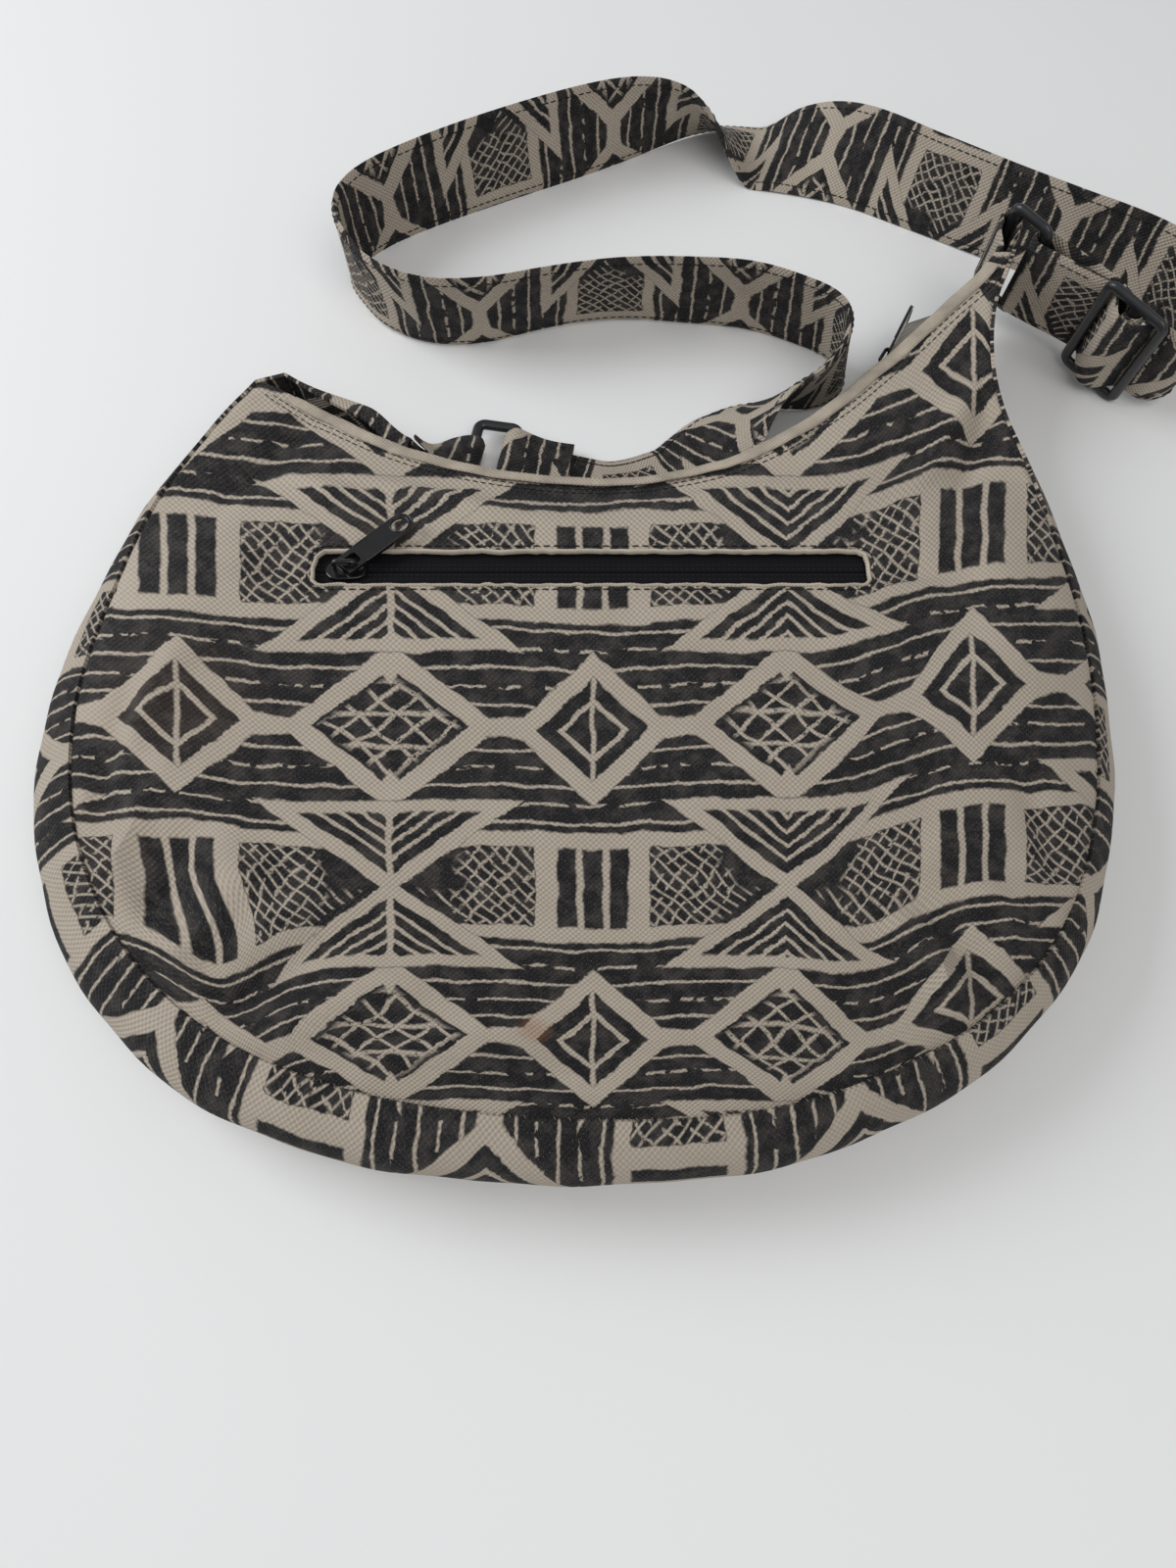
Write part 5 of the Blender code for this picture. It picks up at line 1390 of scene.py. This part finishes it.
def strap_stitches(look, frames):
    """A row along each edge of the strap, on both faces, clear of the rings and the adjuster."""
    points = np.array([f[0] for f in frames])
    bars = [np.array(LEFT_BAR), np.array(RIGHT_BAR)]
    bars.append(bars[1] + unit(RIGHT_OUT) * ADJUSTER_DISTANCE)
    spots = []
    for k, t in stations(travelled(points), 4 * MM, 4 * MM, 3.1 * MM):
        if min(np.linalg.norm(points[k] - bar) for bar in bars) < 19 * MM:
            continue
        for edge in (-1, 1):
            for face in (-1, 1):
                a, b = (p + side * edge * (STRAP_WIDTH / 2 - 3.0 * MM) + up * face * STRAP_THICK * 0.47
                        for p, side, up in frames[k : k + 2])
                spots.append((a * (1 - t) + b * t, b - a, frames[k][2] * face))
    row = stitch_row("strap_stitches", spots, look, 2.5 * MM, 0.46 * MM)
    rest_on_table(row)
    dress(row, "bag", "strap", instead=False)


def mouth_stitches(look):
    """Two rows along the turned edge of the mouth."""
    grid = front_surface(84)[0]
    normals = grid_normals(grid, (0, 0, 1))
    down = np.array([travelled(grid[:, k]) for k in range(FINE)])
    spots = []
    for depth in (5.2 * MM, 7.4 * MM):
        line, out = (
            np.array([[np.interp(depth, down[k], table[:, k, c]) for c in range(3)] for k in range(FINE)])
            for table in (grid, normals)
        )
        for k, t in stations(travelled(line), 8 * MM, 5 * MM, 2.9 * MM):
            point = line[k] * (1 - t) + line[k + 1] * t + out[k] * 0.05 * MM
            spots.append((point, line[k + 1] - line[k], out[k]))
    dress(stitch_row("mouth_stitches", spots, look, 2.2 * MM, 0.36 * MM), "bag", "front_panel", instead=False)


def seam_threads(look):
    """Overcast threads on part of the seam."""
    middle, up, outward, half, _ = seam(400)
    top = middle + up * half[:, None] - outward * 0.3 * MM
    spots = []
    rng = np.random.default_rng(7)
    for k in range(150, 262):
        if rng.random() < 0.25:
            continue
        d = outward[k] + np.array([0, 0, -0.5]) + unit(top[k + 1] - top[k]) * 0.7
        point = top[k] - outward[k] * 0.1 * MM + np.array([0, 0, 0.15 * MM])
        spots.append((point, d, np.array([0, 0, 1.0]) + outward[k] * 0.4))
    dress(stitch_row("seam_threads", spots, look, 1.2 * MM, 0.24 * MM), "bag", "gusset", instead=False)


def wrinkled(node, look, amount, pitch):
    """Copy of a soft construction piece with finer faces and shallow wrinkles, as thick as before."""
    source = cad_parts[node]
    mesh = source.data.copy()
    mesh.transform(source.matrix_world)
    bm = bmesh.new()
    bm.from_mesh(mesh)
    bmesh.ops.remove_doubles(bm, verts=bm.verts, dist=1e-6)
    for _ in range(2):
        long_edges = [e for e in bm.edges if e.calc_length() > 7 * MM]
        if long_edges and len(bm.verts) < 20000:
            bmesh.ops.subdivide_edges(bm, edges=long_edges, cuts=1)
            bmesh.ops.triangulate(bm, faces=[f for f in bm.faces if len(f.verts) > 3])
    for vert in bm.verts:
        vert.co += mathutils.noise.noise_vector(vert.co * pitch) * amount
    bm.to_mesh(mesh)
    bm.free()
    mesh.materials.clear()
    mesh.materials.append(look)
    mesh.shade_smooth()
    mesh.set_sharp_from_angle(angle=math.radians(40))
    piece = bpy.data.objects.new(f"{node}_cloth", mesh)
    bpy.context.collection.objects.link(piece)
    dress(piece, "bag", node)


def carried_over(looks):
    for node, look, amount, pitch in (
        ("front_facing", "facing", 0.10, 90.0), ("back_facing", "facing", 0.10, 90.0),
        ("lining", "lining", 0.18, 45.0), ("pocket_pouch_front", "lining", 0.10, 60.0),
        ("pocket_pouch_back", "lining", 0.10, 60.0),
    ):
        wrinkled(node, looks[look], amount * MM, pitch)
    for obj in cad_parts.values():
        if obj.hide_render or obj.type != "MESH":
            continue
        for slot in obj.material_slots:
            slot.material = looks["metal"]


def stage_and_light():
    mesh = bpy.data.meshes.new("table")
    corners = [(-TABLE_SIZE, -TABLE_SIZE, 0), (TABLE_SIZE, -TABLE_SIZE, 0), (TABLE_SIZE, TABLE_SIZE, 0),
               (-TABLE_SIZE, TABLE_SIZE, 0)]
    mesh.from_pydata(corners, [], [(0, 1, 2, 3)])
    table = bpy.data.objects.new("table", mesh)
    bpy.context.collection.objects.link(table)
    look, tree, shader = new_material("pale_table", 0.7)
    patch = noise(tree, object_output(tree), 3.0, 2.0)
    pale = mix(tree, patch, (0.80, 0.805, 0.81), (0.84, 0.84, 0.84))
    tree.links.new(pale, shader.inputs["Base Color"])
    table.data.materials.append(look)
    table.location.z = min(CAD_BOX[0][2], 0.0) - TABLE_DROP
    world = bpy.data.worlds.new("studio")
    world.use_nodes = True
    sky = world.node_tree.nodes["Background"]
    sky.inputs["Color"].default_value = (0.95, 0.965, 0.98, 1.0)
    sky.inputs["Strength"].default_value = 0.37
    bpy.context.scene.world = world
    for name, place, size, power, colour in (
        ("window", (-1.25, 0.5, 0.95), 0.9, 15.5, (0.96, 0.98, 1.0)),
        ("fill", (0.45, -0.85, 1.75), 1.4, 14.0, (1.0, 0.98, 0.95)),
    ):
        lamp = bpy.data.lights.new(name, "AREA")
        lamp.energy = power
        lamp.size = size
        lamp.color = colour
        made = bpy.data.objects.new(name, lamp)
        made.location = place
        aim = Vector((0, 0.05, 0)) - Vector(place)
        made.rotation_euler = aim.to_track_quat("-Z", "Y").to_euler()
        bpy.context.collection.objects.link(made)


def camera():
    lens = bpy.data.cameras.new("camera")
    lens.sensor_width = 36
    lens.lens = FOCAL / PHOTO_HEIGHT * lens.sensor_width
    lens.clip_start = 0.01
    made = bpy.data.objects.new("camera", lens)
    made.location = EYE
    made.rotation_euler = (math.pi / 2 - TILT, 0, 0)
    bpy.context.collection.objects.link(made)
    bpy.context.scene.camera = made
    bpy.context.scene.view_settings.view_transform = "Standard"


def main():
    camera()
    stage_and_light()
    looks = materials()
    frames = place_soft(looks)
    place_tabs(looks)
    place_pocket(looks)
    place_mouth(looks)
    place_hardware(looks)
    strap_stitches(looks["dark_thread"], frames)
    mouth_stitches(looks["dark_thread"])
    seam_threads(looks["seam_thread"])
    carried_over(looks)


main()
